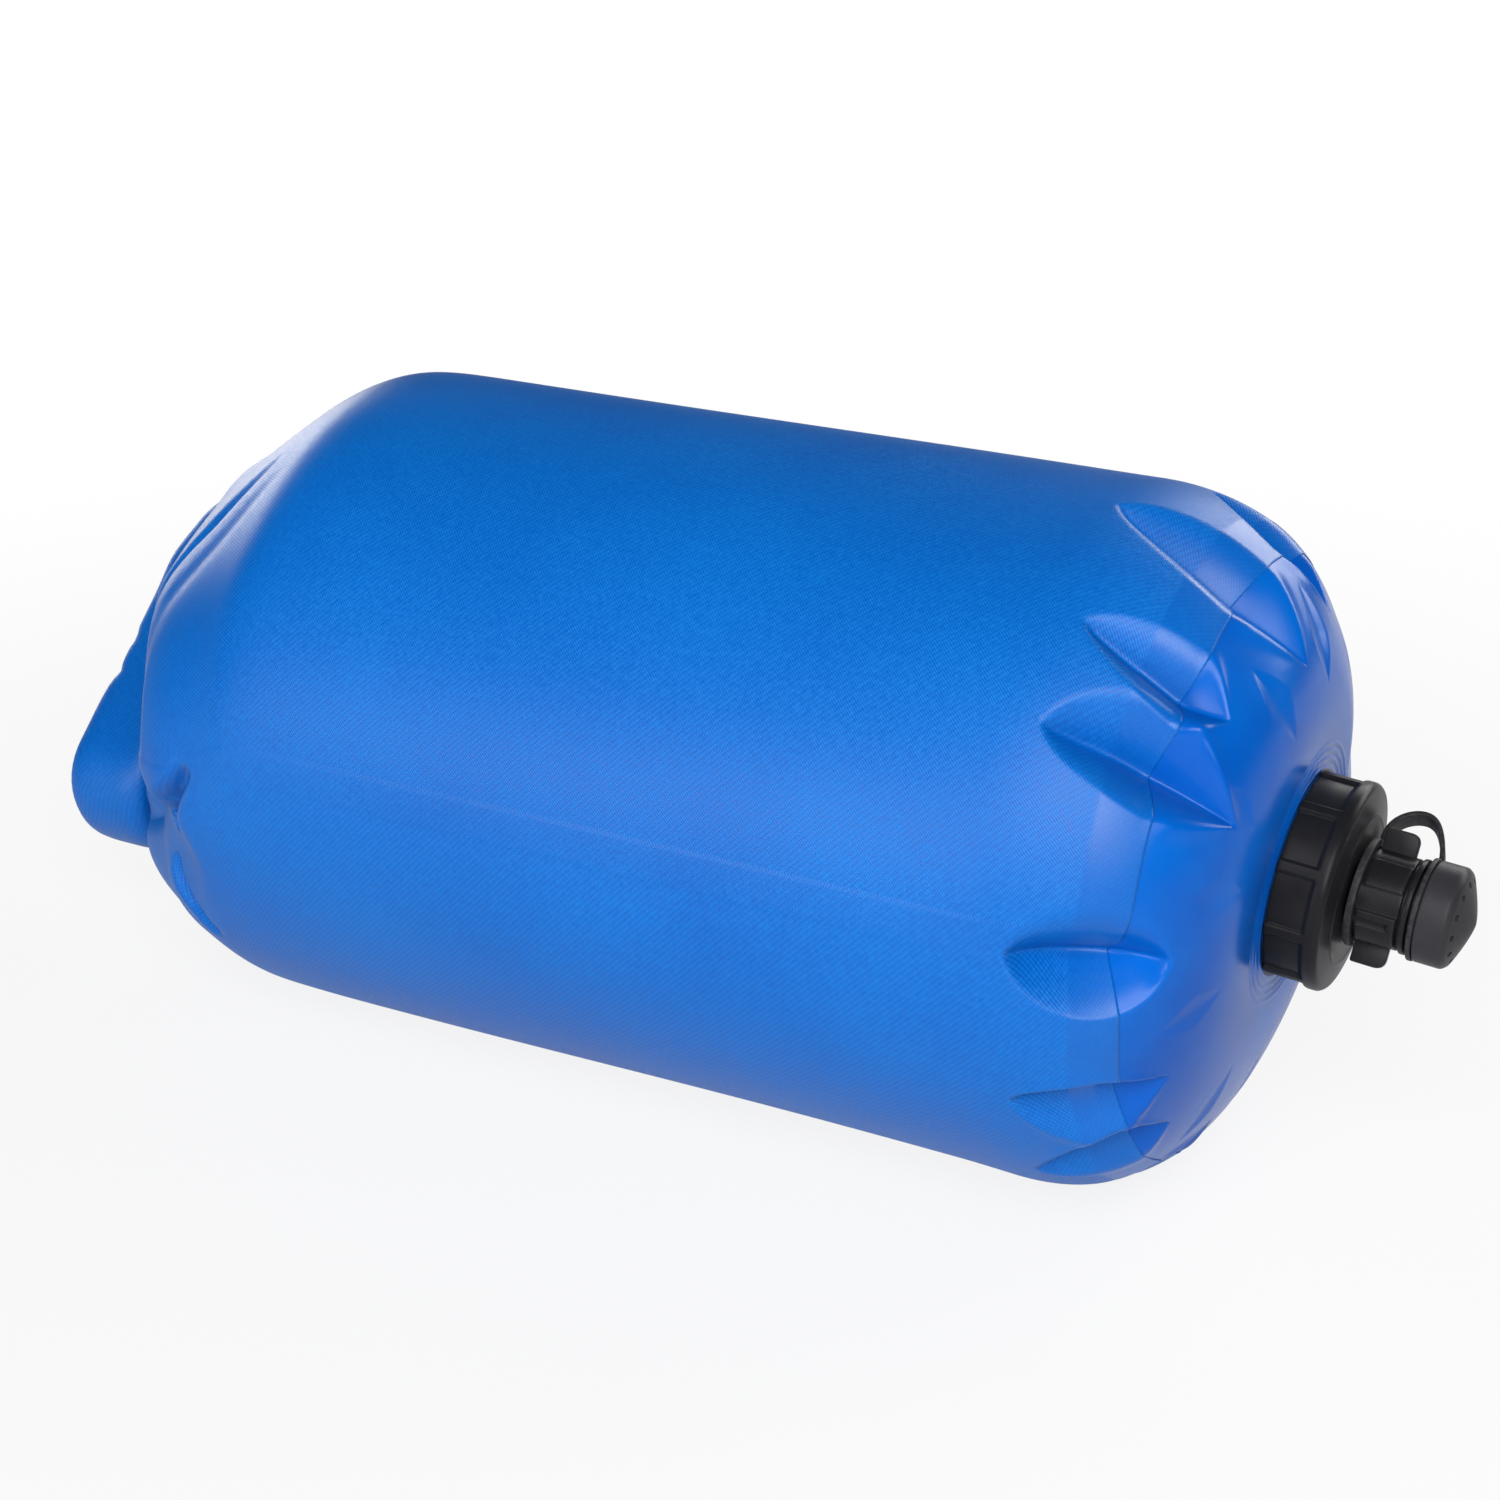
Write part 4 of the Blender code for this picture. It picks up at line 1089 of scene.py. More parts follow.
def hidden_puckers() -> list[Pucker]:
    """Return the dents on the far side of the base weld, of the same kind and spacing as the seen ones."""
    places = [
        (136.0, 11.5, 9.0), (161.0, 10.0, 7.5), (187.0, 13.0, 10.0), (213.0, 10.5, 8.0), (240.0, 11.0, 7.0),
        (291.0, 9.0, 5.0),
    ]
    dents = [
        Pucker((bearing + 3.0, -29.0), (bearing, -4.0), (bearing - 3.0, 17.0), half_width, depth, 0.2)
        for bearing, half_width, depth in places
    ]
    slump = Pucker((158.0, -30.0), (156.0, 14.0), (154.0, 52.0), 60.0, 6.0, lip=0.0, valley=0.6, softness=2.0)
    return dents + [slump]


def panel_folds() -> list[Pucker]:
    """Return the shallow radial folds of the base panel."""
    places = [
        (64.0, 64.4, 11.0, 38.0, 5.0, 0.9), (40.0, 34.0, 19.0, 34.0, 4.0, 0.7),
        (95.0, 92.0, 8.0, 36.0, 5.0, 1.0), (122.0, 118.0, 10.0, 34.0, 5.0, 0.9),
        (148.0, 150.0, 8.0, 35.0, 5.0, 0.9), (15.0, 17.0, 14.0, 38.0, 5.0, 0.4),
        (200.0, 198.0, 8.0, 36.0, 5.0, 0.9), (226.0, 228.0, 10.0, 34.0, 5.0, 0.9),
        (-60.0, -58.0, 8.0, 36.0, 5.0, 0.8), (-13.0, -12.0, 12.0, 36.0, 5.0, 0.5),
        (-88.0, -90.0, 8.0, 34.0, 5.0, 0.8),
    ]
    return [
        Pucker(
            (start, near), ((start + end) / 2, (near + far) / 2), (end, far), half_width, depth,
            wall_tip=Tip.POINTED, valley=0.4, lip=0.1, softness=1.6,
        )
        for start, end, near, far, half_width, depth in places
    ]


def closed_end_tucks() -> list[Tuck]:
    """Return the bulges and hollows that the rolled mouth leaves in the wedge."""
    return [
        Tuck(46.0, 36.0, -10.0), Tuck(82.0, 42.0, -6.0), Tuck(-9.0, 18.0, 14.0),
        Tuck(-27.0, 26.0, 19.0, grown=0.03, start=0.1, end=0.55),
        Tuck(17.0, 34.0, 11.0, grown=0.05, start=0.22, end=0.6),
        Tuck(17.0, 42.0, 0.0, 12.0, first=0.12, grown=0.45, start=0.5, end=1.0),
    ]


def closed_end_creases() -> list[Crease]:
    """Return the folds of the wall beside the rolled mouth."""
    edge = ((72.0, -300.0), (57.0, -310.0), (48.0, -319.0), (39.0, -326.0), (26.0, -331.0), (10.0, -322.0))
    pocket = ((8.0, -292.0), (3.0, -303.0), (-2.0, -314.0), (-9.0, -327.0))
    sliver = ((-17.0, -322.0), (-21.0, -311.0), (-24.0, -304.0), (-30.0, -298.0))
    streak = ((64.0, -292.0), (50.0, -302.0), (38.0, -312.0), (22.0, -318.0))
    return [
        Crease(edge, 2.0, 1.8, 0.8), Crease(pocket, 3.0, 8.0, 1.6), Crease(sliver, 2.0, 3.2, 1.2),
        Crease(streak, 3.5, 0.7, 0.5),
    ]


def hidden_creases() -> list[Crease]:
    """Return the folds that fan out from the rolled mouth on the far side and below."""
    fans = [
        ((120.0, -300.0), (133.0, -312.0), (146.0, -324.0), (158.0, -338.0)),
        ((146.0, -290.0), (156.0, -305.0), (164.0, -320.0), (172.0, -336.0)),
        ((168.0, -283.0), (172.0, -300.0), (176.0, -316.0), (180.0, -336.0)),
        ((205.0, -287.0), (199.0, -303.0), (193.0, -319.0), (187.0, -336.0)),
        ((246.0, -294.0), (236.0, -308.0), (226.0, -322.0), (214.0, -337.0)),
        ((276.0, -298.0), (286.0, -310.0), (296.0, -322.0), (308.0, -335.0)),
    ]
    depths = (1.6, 2.4, 3.0, 2.6, 2.0, 1.8)
    return [Crease(path, 3.0, depth, 0.6 * depth, 9.0) for path, depth in zip(fans, depths)]


@dataclass
class SackBody:
    """The welded cloth tube and the film panel of its round base.

    A slack wave has a height, a number of crests round the sack, a length along it and a phase. Easing has
    the rows before and after the wedge's end that are smoothed, and the number of passes.
    """

    outline: SackOutline = field(default_factory=SackOutline)
    columns: int = 840
    wedge_rows: int = 100
    body_rows: int = 80
    shoulder_rows: int = 26
    edge_rows: int = 24
    edge_start: float = -16.0
    easing: tuple[int, int, int] = (26, 6, 24)
    ground_gap: float = 0.02
    cloth_thickness: float = 0.14
    hem_row: int = 4
    hem_reach: float = 4.0
    weld_reach: float = 14.0
    weld_foot: float = 1.0
    weld_head: float = 0.6
    weld_rise: float = 0.1
    seam_low: float = 3.0
    seam_high: float = 9.4
    seam_blur: float = 0.5
    seam_rise: float = 0.14
    seam_press_and_sheen: float = 0.25
    crease_radius: float = 93.0
    slack_waves: tuple[tuple[float, int, float, float], ...] = (
        (0.55, 2, 95.0, 1.3), (0.4, 3, -63.0, 0.4), (0.2, 5, 41.0, 0.0),
    )
    slack_start: Span = (-330.0, -270.0)
    slack_end: Span = (-60.0, -20.0)
    film_start: float = -5.0
    film_inset: float = 0.07
    film_rim_inset: float = 0.06
    film_rim: Span = (70.0, 84.0)
    dome_rows: int = 74
    disc_rows: int = 44
    spout_radius: float = 24.3
    ring_count: int = 4
    ring_spacing: float = 2.3
    ring_outer: float = 36.5
    ring_rise: float = 0.35
    ring_fade: Span = (1.0, 1.2)
    puckers: list[Pucker] = field(default_factory=lambda: seen_puckers() + hidden_puckers())
    folds: list[Pucker] = field(default_factory=panel_folds)
    tucks: list[Tuck] = field(default_factory=closed_end_tucks)
    creases: list[Crease] = field(default_factory=lambda: closed_end_creases() + hidden_creases())

    def bearings(self) -> Array:
        """Return the bearings of a ring's points, which start at the seam's edge."""
        start = math.radians(self.seam_high)
        return start + np.linspace(0.0, TURN, self.columns, endpoint=False)

    def weld_band(self, reach: Array) -> Array:
        """Return 1 on the band that is welded to the panel and 0 behind it."""
        return smooth_step(reach, -self.weld_reach - self.weld_foot, -self.weld_reach + self.weld_head)

    def seam_strip(self, bearing: Array, edge: float) -> Array:
        """Return 1 on the overlap of the lengthwise seam.

        Args:
            bearing: Bearings of the points in radians.
            edge: Where the overlap ends, in degrees past the seam's high side.

        Returns:
            The strip's share at each point.
        """
        behind = np.degrees(wrapped(bearing - math.radians(self.seam_high)))
        low = self.seam_low - self.seam_high
        return smooth_step(behind, low - self.seam_blur, low + self.seam_blur) * (behind < edge)

    def slack(self, bearing: Array, reach: Array) -> Array:
        """Return the long soft waves of the body, which fade out at its ends.

        Args:
            bearing: Bearings of the columns, in one row.
            reach: Reaches of the rows, in one column.

        Returns:
            The move of each point along its normal.
        """
        ends = smooth_step(reach, *self.slack_start) * (1 - smooth_step(reach, *self.slack_end))
        return ends * sum(
            height * np.sin(crests * bearing + reach / length + phase)
            for height, crests, length, phase in self.slack_waves
        )

    @staticmethod
    def moved(points: Array, relief: Array) -> Array:
        """Return a closed grid moved along its normals.

        Args:
            points: Rings by points.
            relief: Move of each point.

        Returns:
            The moved points.
        """
        down = np.gradient(points, axis=0)
        around = np.roll(points, -1, axis=1) - np.roll(points, 1, axis=1)
        normal = np.cross(down, around)
        normal = normal / np.maximum(np.linalg.norm(normal, axis=2, keepdims=True), LEAST_NORMAL)
        return points + normal * relief[..., None]

    def above_ground(self, points: Array) -> Array:
        """Return points of the bag place, lifted where they would go into the ground."""
        floor = np.array([-np.inf, -np.inf, self.ground_gap - self.outline.axis_height])
        return np.maximum(points, floor)

    def eased(self, points: Array, seam: int) -> Array:
        """Return rings smoothed along the sack where the wedge meets the body.

        Args:
            points: Rings by points.
            seam: Number of rings in the wedge.

        Returns:
            The smoothed rings.
        """
        before, after, passes = self.easing
        first, last = seam - before, seam + after
        for _ in range(passes):
            middle = (points[first - 1:last - 1] + points[first + 1:last + 1]) / 2
            points[first:last] = (points[first:last] + middle) / 2
        return points

    def wall_grid(self) -> tuple[Array, Array]:
        """Return the wall's points before its relief, and the reach of each row."""
        outline = self.outline
        bearing = self.bearings()
        shares = np.linspace(0.0, 1.0, self.wedge_rows) ** 2
        wedge = np.array([outline.mouth(bearing)] + [outline.wedge(bearing, share) for share in shares])
        for tuck in self.tucks:
            wedge[1:] = tuck.moved(wedge[1:], bearing, shares)
        body_x = np.linspace(-outline.body_length, -outline.shoulder_length, self.body_rows)[1:-1]
        flat = np.zeros_like(body_x)
        body = outline.rings(bearing, body_x, flat + outline.radius, flat)
        start = outline.base_table()[0][0]
        shoulder_reach = np.concatenate([
            np.linspace(start, self.edge_start, self.shoulder_rows),
            np.linspace(self.edge_start, 0.0, self.edge_rows)[1:],
        ])
        shoulder = outline.base(bearing, shoulder_reach)
        points = self.eased(np.concatenate([wedge, body, shoulder]), len(wedge))
        offset = outline.shoulder_length + start
        wedge_x = np.concatenate([[-outline.mouth_length], outline.wedge_length * shares])
        wedge_x = wedge_x - outline.wedge_length - outline.body_length
        return points, np.concatenate([wedge_x + offset, body_x + offset, shoulder_reach])

    def make_wall(self) -> Piece:
        """Return the cloth tube with its seam, weld band, puckers, folds and cut edge."""
        bearing = self.bearings()[None, :]
        points, reach = self.wall_grid()
        rows = reach[:, None]
        radius = self.outline.ring_radius(rows)
        relief = self.weld_rise * self.weld_band(rows) + self.seam_rise * self.seam_strip(bearing, -SEAM_GAP)
        relief = relief + self.slack(bearing, rows)
        relief = relief + sum(pucker.relief(bearing, rows, radius) for pucker in self.puckers)
        relief = relief + sum(crease.relief(bearing, rows, self.crease_radius) for crease in self.creases)
        points = self.above_ground(self.moved(points, relief))
        under = self.moved(points, np.full(points.shape[:2], -self.cloth_thickness))
        points = np.concatenate([points, under[-1:], under[-self.hem_row:1 - self.hem_row]])
        reach = np.concatenate([reach, [self.cloth_thickness, self.hem_reach]])[:, None]
        turn = np.append(bearing, bearing[0, 0] + TURN) * self.outline.radius
        cloth = np.stack(np.broadcast_arrays(turn[None, :], reach), axis=-1) * MM
        piece = skin("sack_wall", BAG.metres(points), flip=True, cloth=cloth)
        # This mask marks the weld band and the seam's overlap: the cloth is smoother and glossier there, and
        # its colour is lightened there as a painted sheen.
        pressed_and_sheen = np.maximum(self.weld_band(reach), self.seam_press_and_sheen * self.seam_strip(bearing, SEAM_GAP))
        layer = piece.data.attributes.new("pressed_and_sheen", "FLOAT", "POINT")
        layer.data.foreach_set("value", pressed_and_sheen.reshape(-1).astype(np.float32))
        return piece

    def weld_rings(self, radius: Array) -> Array:
        """Return the fine rings that the spout's weld leaves in the film.

        Args:
            radius: Distances from the spout's axis.

        Returns:
            The rise of the rings.
        """
        inner = self.ring_outer - self.ring_count * self.ring_spacing
        ripple = np.cos((radius - inner) * TURN / self.ring_spacing) * self.ring_rise / 2
        inside = smooth_step(radius, inner - self.ring_fade[0], inner)
        outside = smooth_step(-radius, -self.ring_outer - self.ring_fade[1], -self.ring_outer)
        return ripple * inside * outside

    def make_panel(self) -> Piece:
        """Return the film panel with its share of the puckers, its folds and the spout's weld rings."""
        outline = self.outline
        bearing = self.bearings()
        edge = outline.base_table()[0][-1]
        dome_reach = np.linspace(self.film_start, edge, self.dome_rows)
        disc_radius = np.linspace(outline.flat_radius, self.spout_radius, self.disc_rows)[1:]
        flat = np.ones_like(disc_radius)
        dome_height = outline.shoulder_depth - outline.shoulder_length
        disc = outline.rings(bearing, flat * dome_height, disc_radius, flat)
        points = np.concatenate([outline.base(bearing, dome_reach), disc])
        reach = np.concatenate([dome_reach, edge + outline.flat_radius - disc_radius])[:, None]
        radius = np.concatenate([outline.ring_radius(dome_reach), disc_radius])[:, None]
        inset = self.film_inset + self.film_rim_inset * smooth_step(radius, *self.film_rim)
        relief = sum(dent.relief(bearing[None, :], reach, radius) for dent in self.puckers + self.folds)
        points = self.moved(points, relief + self.weld_rings(radius) - inset)
        return skin("base_film_panel", BAG.metres(self.above_ground(points)), flip=True)

    def build(self) -> None:
        """Make and dress the wall and the panel."""
        add_piece(self.make_wall(), Finish.NYLON, "sack", "bag_wall")
        add_piece(self.make_panel(), Finish.FILM, "sack", "base_panel")


# Spout, cap, tap and shower head

@dataclass
class SpoutCollar:
    """Thin trim ring behind the cap."""

    inner: float = 24.3
    outer: float = 29.8
    low: float = 0.3
    high: float = 1.2
    sides: int = 180

    def build(self) -> None:
        """Make and dress the collar."""
        line = rounded([
            (self.inner, self.low, 0.0), (self.outer, self.low, 0.2), (self.outer, self.high, 0.5),
            (self.inner, self.high, 0.0),
        ])
        add_piece(lathe("spout_trim", VALVE, line, self.sides), Finish.BLACK, "sack", "spout_collar")


@dataclass
class ScrewCap:
    """Ribbed cap with a chamfered rim, a sloping face and a fine raised ring on it."""

    radius: float = 29.2
    base: float = 1.5
    rim_top: float = 15.1
    face_edge: Spot = (28.2, 16.35)
    face_radius: float = 20.6
    top: float = 17.7
    panel_depth: float = 1.0
    panel_top: float = 12.35
    panel_slope: float = 0.5
    ribs: int = 10
    first_rib: float = 26.0
    rib_half_width: float = 1.5
    rib_slope: Span = (-0.2, 0.35)
    relief_depth: Span = (-1.0, -0.4)
    bore: float = 26.0
    ceiling: float = 14.3
    hole: float = 7.05
    sides: int = 600
    spacing: float = 0.55
    thread_rod: float = 1.3
    thread_sides: int = 12
    thread_sink: float = 0.25
    thread_pitch: float = 5.0
    thread_start: float = 1.1
    thread_turns: float = 1.25
    thread_lead: float = 0.3
    thread_steps: int = 90

    def relief(self, angle: Array, radius: Array, height: Array) -> Array:
        """Return the recessed panels between the ribs.

        Args:
            angle: Angles of a ring's points.
            radius: Radius of each point before the relief.
            height: Height of each point.

        Returns:
            The change of each point's radius.
        """
        pitch = TURN / self.ribs
        off = (angle - math.radians(self.first_rib) + pitch / 2) % pitch - pitch / 2
        start, end = (self.rib_half_width + slope for slope in self.rib_slope)
        panel = smooth_step(np.abs(off) * self.radius, start, end)
        below = 1 - smooth_step(height, self.panel_top - self.panel_slope, self.panel_top)
        outside = smooth_step(radius, *(self.radius + depth for depth in self.relief_depth))
        return -self.panel_depth * panel * below * outside

    def line(self) -> Array:
        """Return the cap's outline, with the ring on its face."""
        face = self.face_radius
        slope = (self.top - self.face_edge[1]) / (self.face_edge[0] - face)
        corners = [
            (self.bore, self.base, 0.0), (self.radius, self.base, 0.5), (self.radius, self.rim_top, 0.9),
            (*self.face_edge, 0.7), (face + 0.9, self.top - 0.9 * slope, 0.2),
            (face + 0.45, self.top + 0.16 - 0.4 * slope, 0.25), (face - 0.1, self.top + 0.12, 0.3),
            (face - 0.5, self.top, 0.2), (self.hole, self.top, 0.2), (self.hole, self.ceiling, 0.0),
            (self.bore, self.ceiling, 0.8), (self.bore, self.base, 0.0),
        ]
        return refined(rounded(corners), self.spacing)

    def make_thread(self) -> Piece:
        """Return the thread ridge on the cap's inside."""
        angle = np.linspace(0.0, TURN, self.thread_sides, endpoint=False)
        outline = np.stack([np.cos(angle), np.sin(angle)], axis=-1) * self.thread_rod
        stations = []
        for turn in np.linspace(self.thread_lead, self.thread_lead + self.thread_turns, self.thread_steps):
            out = Vector((math.cos(TURN * turn), math.sin(TURN * turn), 0.0))
            rise = UP * (self.thread_start + self.thread_pitch * turn)
            stations.append((out * (self.bore + self.thread_sink) + rise, out, UP))
        return sweep("cap_thread", VALVE, outline, stations)

    def build(self) -> None:
        """Make and dress the cap."""
        cap = lathe("ribbed_cap", VALVE, self.line(), self.sides, self.relief)
        add_piece(joined([cap, self.make_thread()]), Finish.BLACK, "cap", "screw_cap")


@dataclass(frozen=True)
class GripPanel:
    """A raised panel on the tap's grip, from one angle to another."""

    start: float
    end: float
    rise: float
    slope: Span = (-0.15, 0.3)

    def relief(self, angle: Array, radius: float) -> Array:
        """Return the panel's rise.

        Args:
            angle: Angles of the points.
            radius: Radius of the grip.

        Returns:
            The rise of each point.
        """
        half = math.radians(self.end - self.start) / 2
        off = np.abs(wrapped(angle - math.radians(self.start) - half))
        return self.rise * smooth_step((half - off) * radius, *self.slope)


@dataclass
class TwistTap:
    """Winged sleeve with raised grip panels, a lip ring and the spout that the head sits on.

    Two panels and a bridge between their upper ends make each of the grip's two pads.
    """

    radius: float = 12.7
    base: float = 18.3
    body_top: float = 32.1
    groove: float = 11.4
    lip_base: float = 32.9
    lip_radius: float = 13.2
    lip_top: float = 34.5
    spout: float = 11.0
    top: float = 41.3
    bore: float = 7.11
    chamber_bore: float = 8.61
    chamber_base: float = 22.5
    chamber_top: float = 33.0
    spout_base: float = 34.0
    spout_bore: float = 6.5
    seal_low: float = 36.8
    seal_high: float = 39.0
    seal_floor: float = 9.9
    sides: int = 360
    spacing: float = 0.5
    grip_base: float = 21.2
    grip_slope: float = 0.3
    grip_end: Span = (-0.5, -0.1)
    relief_depth: Span = (-0.6, -0.2)
    lip_gap: float = 0.05
    panels: tuple[GripPanel, ...] = (
        GripPanel(196.0, 235.0, 0.55), GripPanel(264.0, 274.0, 1.0), GripPanel(282.0, 312.0, 1.0),
        GripPanel(16.0, 55.0, 0.55), GripPanel(84.0, 94.0, 1.0), GripPanel(102.0, 132.0, 1.0),
    )
    bridges: tuple[float, float] = (278.0, 98.0)
    bridge_base: Span = (29.2, 29.9)
    bridge_side: Span = (1.1, 1.6)
    bridge_bow: float = 1.6
    wing_base: float = 20.9
    wing_span: float = 6.0
    wing_sink: float = 0.8
    wing_length: float = 9.5
    wing_thickness: float = 2.6
    wing_corner: float = 3.75
    wing_edge: float = 0.5
    wing_angle: float = 155.0

    def relief(self, angle: Array, radius: Array, height: Array) -> Array:
        """Return the raised panels of the grip and the U-shaped end of each pad's groove.

        Args:
            angle: Angles of a ring's points.
            radius: Radius of each point before the relief.
            height: Height of each point.

        Returns:
            The change of each point's radius.
        """
        raised = sum(panel.relief(angle, self.radius) for panel in self.panels)
        for middle in self.bridges:
            off = wrapped(angle - math.radians(middle)) * self.radius
            bridge = smooth_step(height - off ** 2 / self.bridge_bow, *self.bridge_base)
            raised = np.maximum(raised, bridge * (1 - smooth_step(np.abs(off), *self.bridge_side)))
        grip = smooth_step(height, self.grip_base - self.grip_slope, self.grip_base + self.grip_slope)
        below = 1 - smooth_step(height, *(self.body_top + end for end in self.grip_end))
        outside = smooth_step(radius, *(self.radius + depth for depth in self.relief_depth))
        return raised * grip * below * outside * (height < self.body_top + self.lip_gap)

    def line(self) -> Array:
        """Return the sleeve's outline."""
        corners = [
            (self.bore, self.base, 0.0), (self.radius, self.base, 0.4), (self.radius, self.body_top, 0.4),
            (self.groove, self.body_top, 0.2), (self.groove, self.lip_base, 0.2),
            (self.lip_radius, self.lip_base, 0.5), (self.lip_radius, self.lip_top, 0.5),
            (self.spout, self.lip_top, 0.2), (self.spout, self.seal_low, 0.1),
            (self.seal_floor, self.seal_low, 0.1), (self.seal_floor, self.seal_high, 0.1),
            (self.spout, self.seal_high, 0.1), (self.spout, self.top, 0.5), (self.spout_bore, self.top, 0.3),
            (self.spout_bore, self.spout_base, 0.0), (self.chamber_bore, self.chamber_top, 0.0),
            (self.chamber_bore, self.chamber_base, 0.0), (self.bore, self.chamber_base, 0.0),
            (self.bore, self.base, 0.0),
        ]
        return refined(rounded(corners), self.spacing)

    def make_wing(self, index: int) -> Piece:
        """Return one of the two wings.

        Args:
            index: Its number, 0 or 1.

        Returns:
            The new wing.
        """
        inner = self.radius - self.wing_sink
        outer = self.radius + self.wing_span
        top = self.wing_base + self.wing_length
        outline = rounded([
            (inner, self.wing_base, 0.0), (outer, self.wing_base, 0.8), (outer, top, self.wing_corner),
            (inner, top, 0.0),
        ], 8)
        upright = Matrix.Rotation(math.pi / 2, 4, "X")
        spin = Matrix.Rotation(math.radians(self.wing_angle + 180 * index), 4, "Z")
        name = f"tap_wing_{index}"
        return slab(name, VALVE, outline, self.wing_thickness, self.wing_edge, spin @ upright)

    def build(self) -> None:
        """Make and dress the tap."""
        sleeve = lathe("twist_tap", VALVE, self.line(), self.sides, self.relief)
        wings = [self.make_wing(index) for index in range(2)]
        add_piece(joined([sleeve] + wings), Finish.BLACK, "tap", "tap_sleeve")


@dataclass
class ShowerHead:
    """Cup with a shallow domed front and a circle of spray holes."""

    radius: float = 14.0
    base: float = 35.1
    seat_radius: float = 12.9
    seat_top: float = 37.1
    edge_base: float = 44.5
    cone_base: float = 45.8
    cone_radius: float = 12.8
    dome_power: float = 1.35
    dome_steps: int = 14
    top: float = 50.1
    tip_radius: float = 0.02
    ceiling: float = 47.9
    bore: float = 11.3
    wall: float = 1.8
    sides: int = 180
    spacing: float = 0.9
    sharp_angle: float = 40.0
    holes: int = 12
    first_hole: float = 2.0
    hole_circle: float = 10.9
    hole_radius: float = 0.95
    drill_length: float = 7.0
    drill_sides: int = 16

    def dome_height(self, share: float) -> float:
        """Return the height of the domed front, from its tip at 0 to its edge at 1."""
        return self.cone_base + (self.top - self.cone_base) * (1 - share ** self.dome_power)

    def line(self) -> Array:
        """Return the head's outline."""
        outside = [
            (self.bore, self.base, 0.0), (self.seat_radius, self.base, 0.3),
            (self.seat_radius, self.seat_top, 0.2), (self.radius, self.seat_top, 0.5),
            (self.radius, self.edge_base, 0.8), (self.cone_radius, self.cone_base, 0.8),
        ]
        dome = [
            (self.cone_radius * share + self.tip_radius, self.dome_height(share), 0.0)
            for share in np.linspace(1.0, 0.0, self.dome_steps)[1:]
        ]
        inside = [
            (self.tip_radius, self.ceiling, 0.0), (self.bore, self.cone_base - self.wall, 0.0),
            (self.bore, self.base, 0.0),
        ]
        return refined(rounded(outside + dome + inside, 6), self.spacing)

    def make_drills(self) -> Piece:
        """Return the rods that cut the spray holes."""
        share = self.hole_circle / self.cone_radius
        fall = (self.top - self.cone_base) * self.dome_power * share ** (self.dome_power - 1)
        tilt = Matrix.Rotation(math.atan(fall / self.cone_radius), 4, "Y")
        spot = Matrix.Translation((self.hole_circle, 0.0, self.dome_height(share))) @ tilt
        mesh = bmesh.new()
        for index in range(self.holes):
            spin = Matrix.Rotation(math.radians(self.first_hole) + TURN * index / self.holes, 4, "Z")
            bmesh.ops.create_cone(
                mesh, cap_ends=True, segments=self.drill_sides, radius1=self.hole_radius,
                radius2=self.hole_radius, depth=self.drill_length,
                matrix=Matrix.Scale(MM, 4) @ VALVE.matrix() @ spin @ spot,
            )
        return released("spray_drills", mesh)

    def build(self) -> None:
        """Make and dress the head."""
        head = lathe("spray_head", VALVE, self.line(), self.sides)
        drills = self.make_drills()
        cut = head.modifiers.new("holes", "BOOLEAN")
        cut.operation = "DIFFERENCE"
        cut.solver = "EXACT"
        cut.object = drills
        settled(head)
        bpy.data.objects.remove(drills, do_unlink=True)
        head.data.set_sharp_from_angle(angle=math.radians(self.sharp_angle))
        add_piece(head, Finish.GREY, "head", "shower_head")


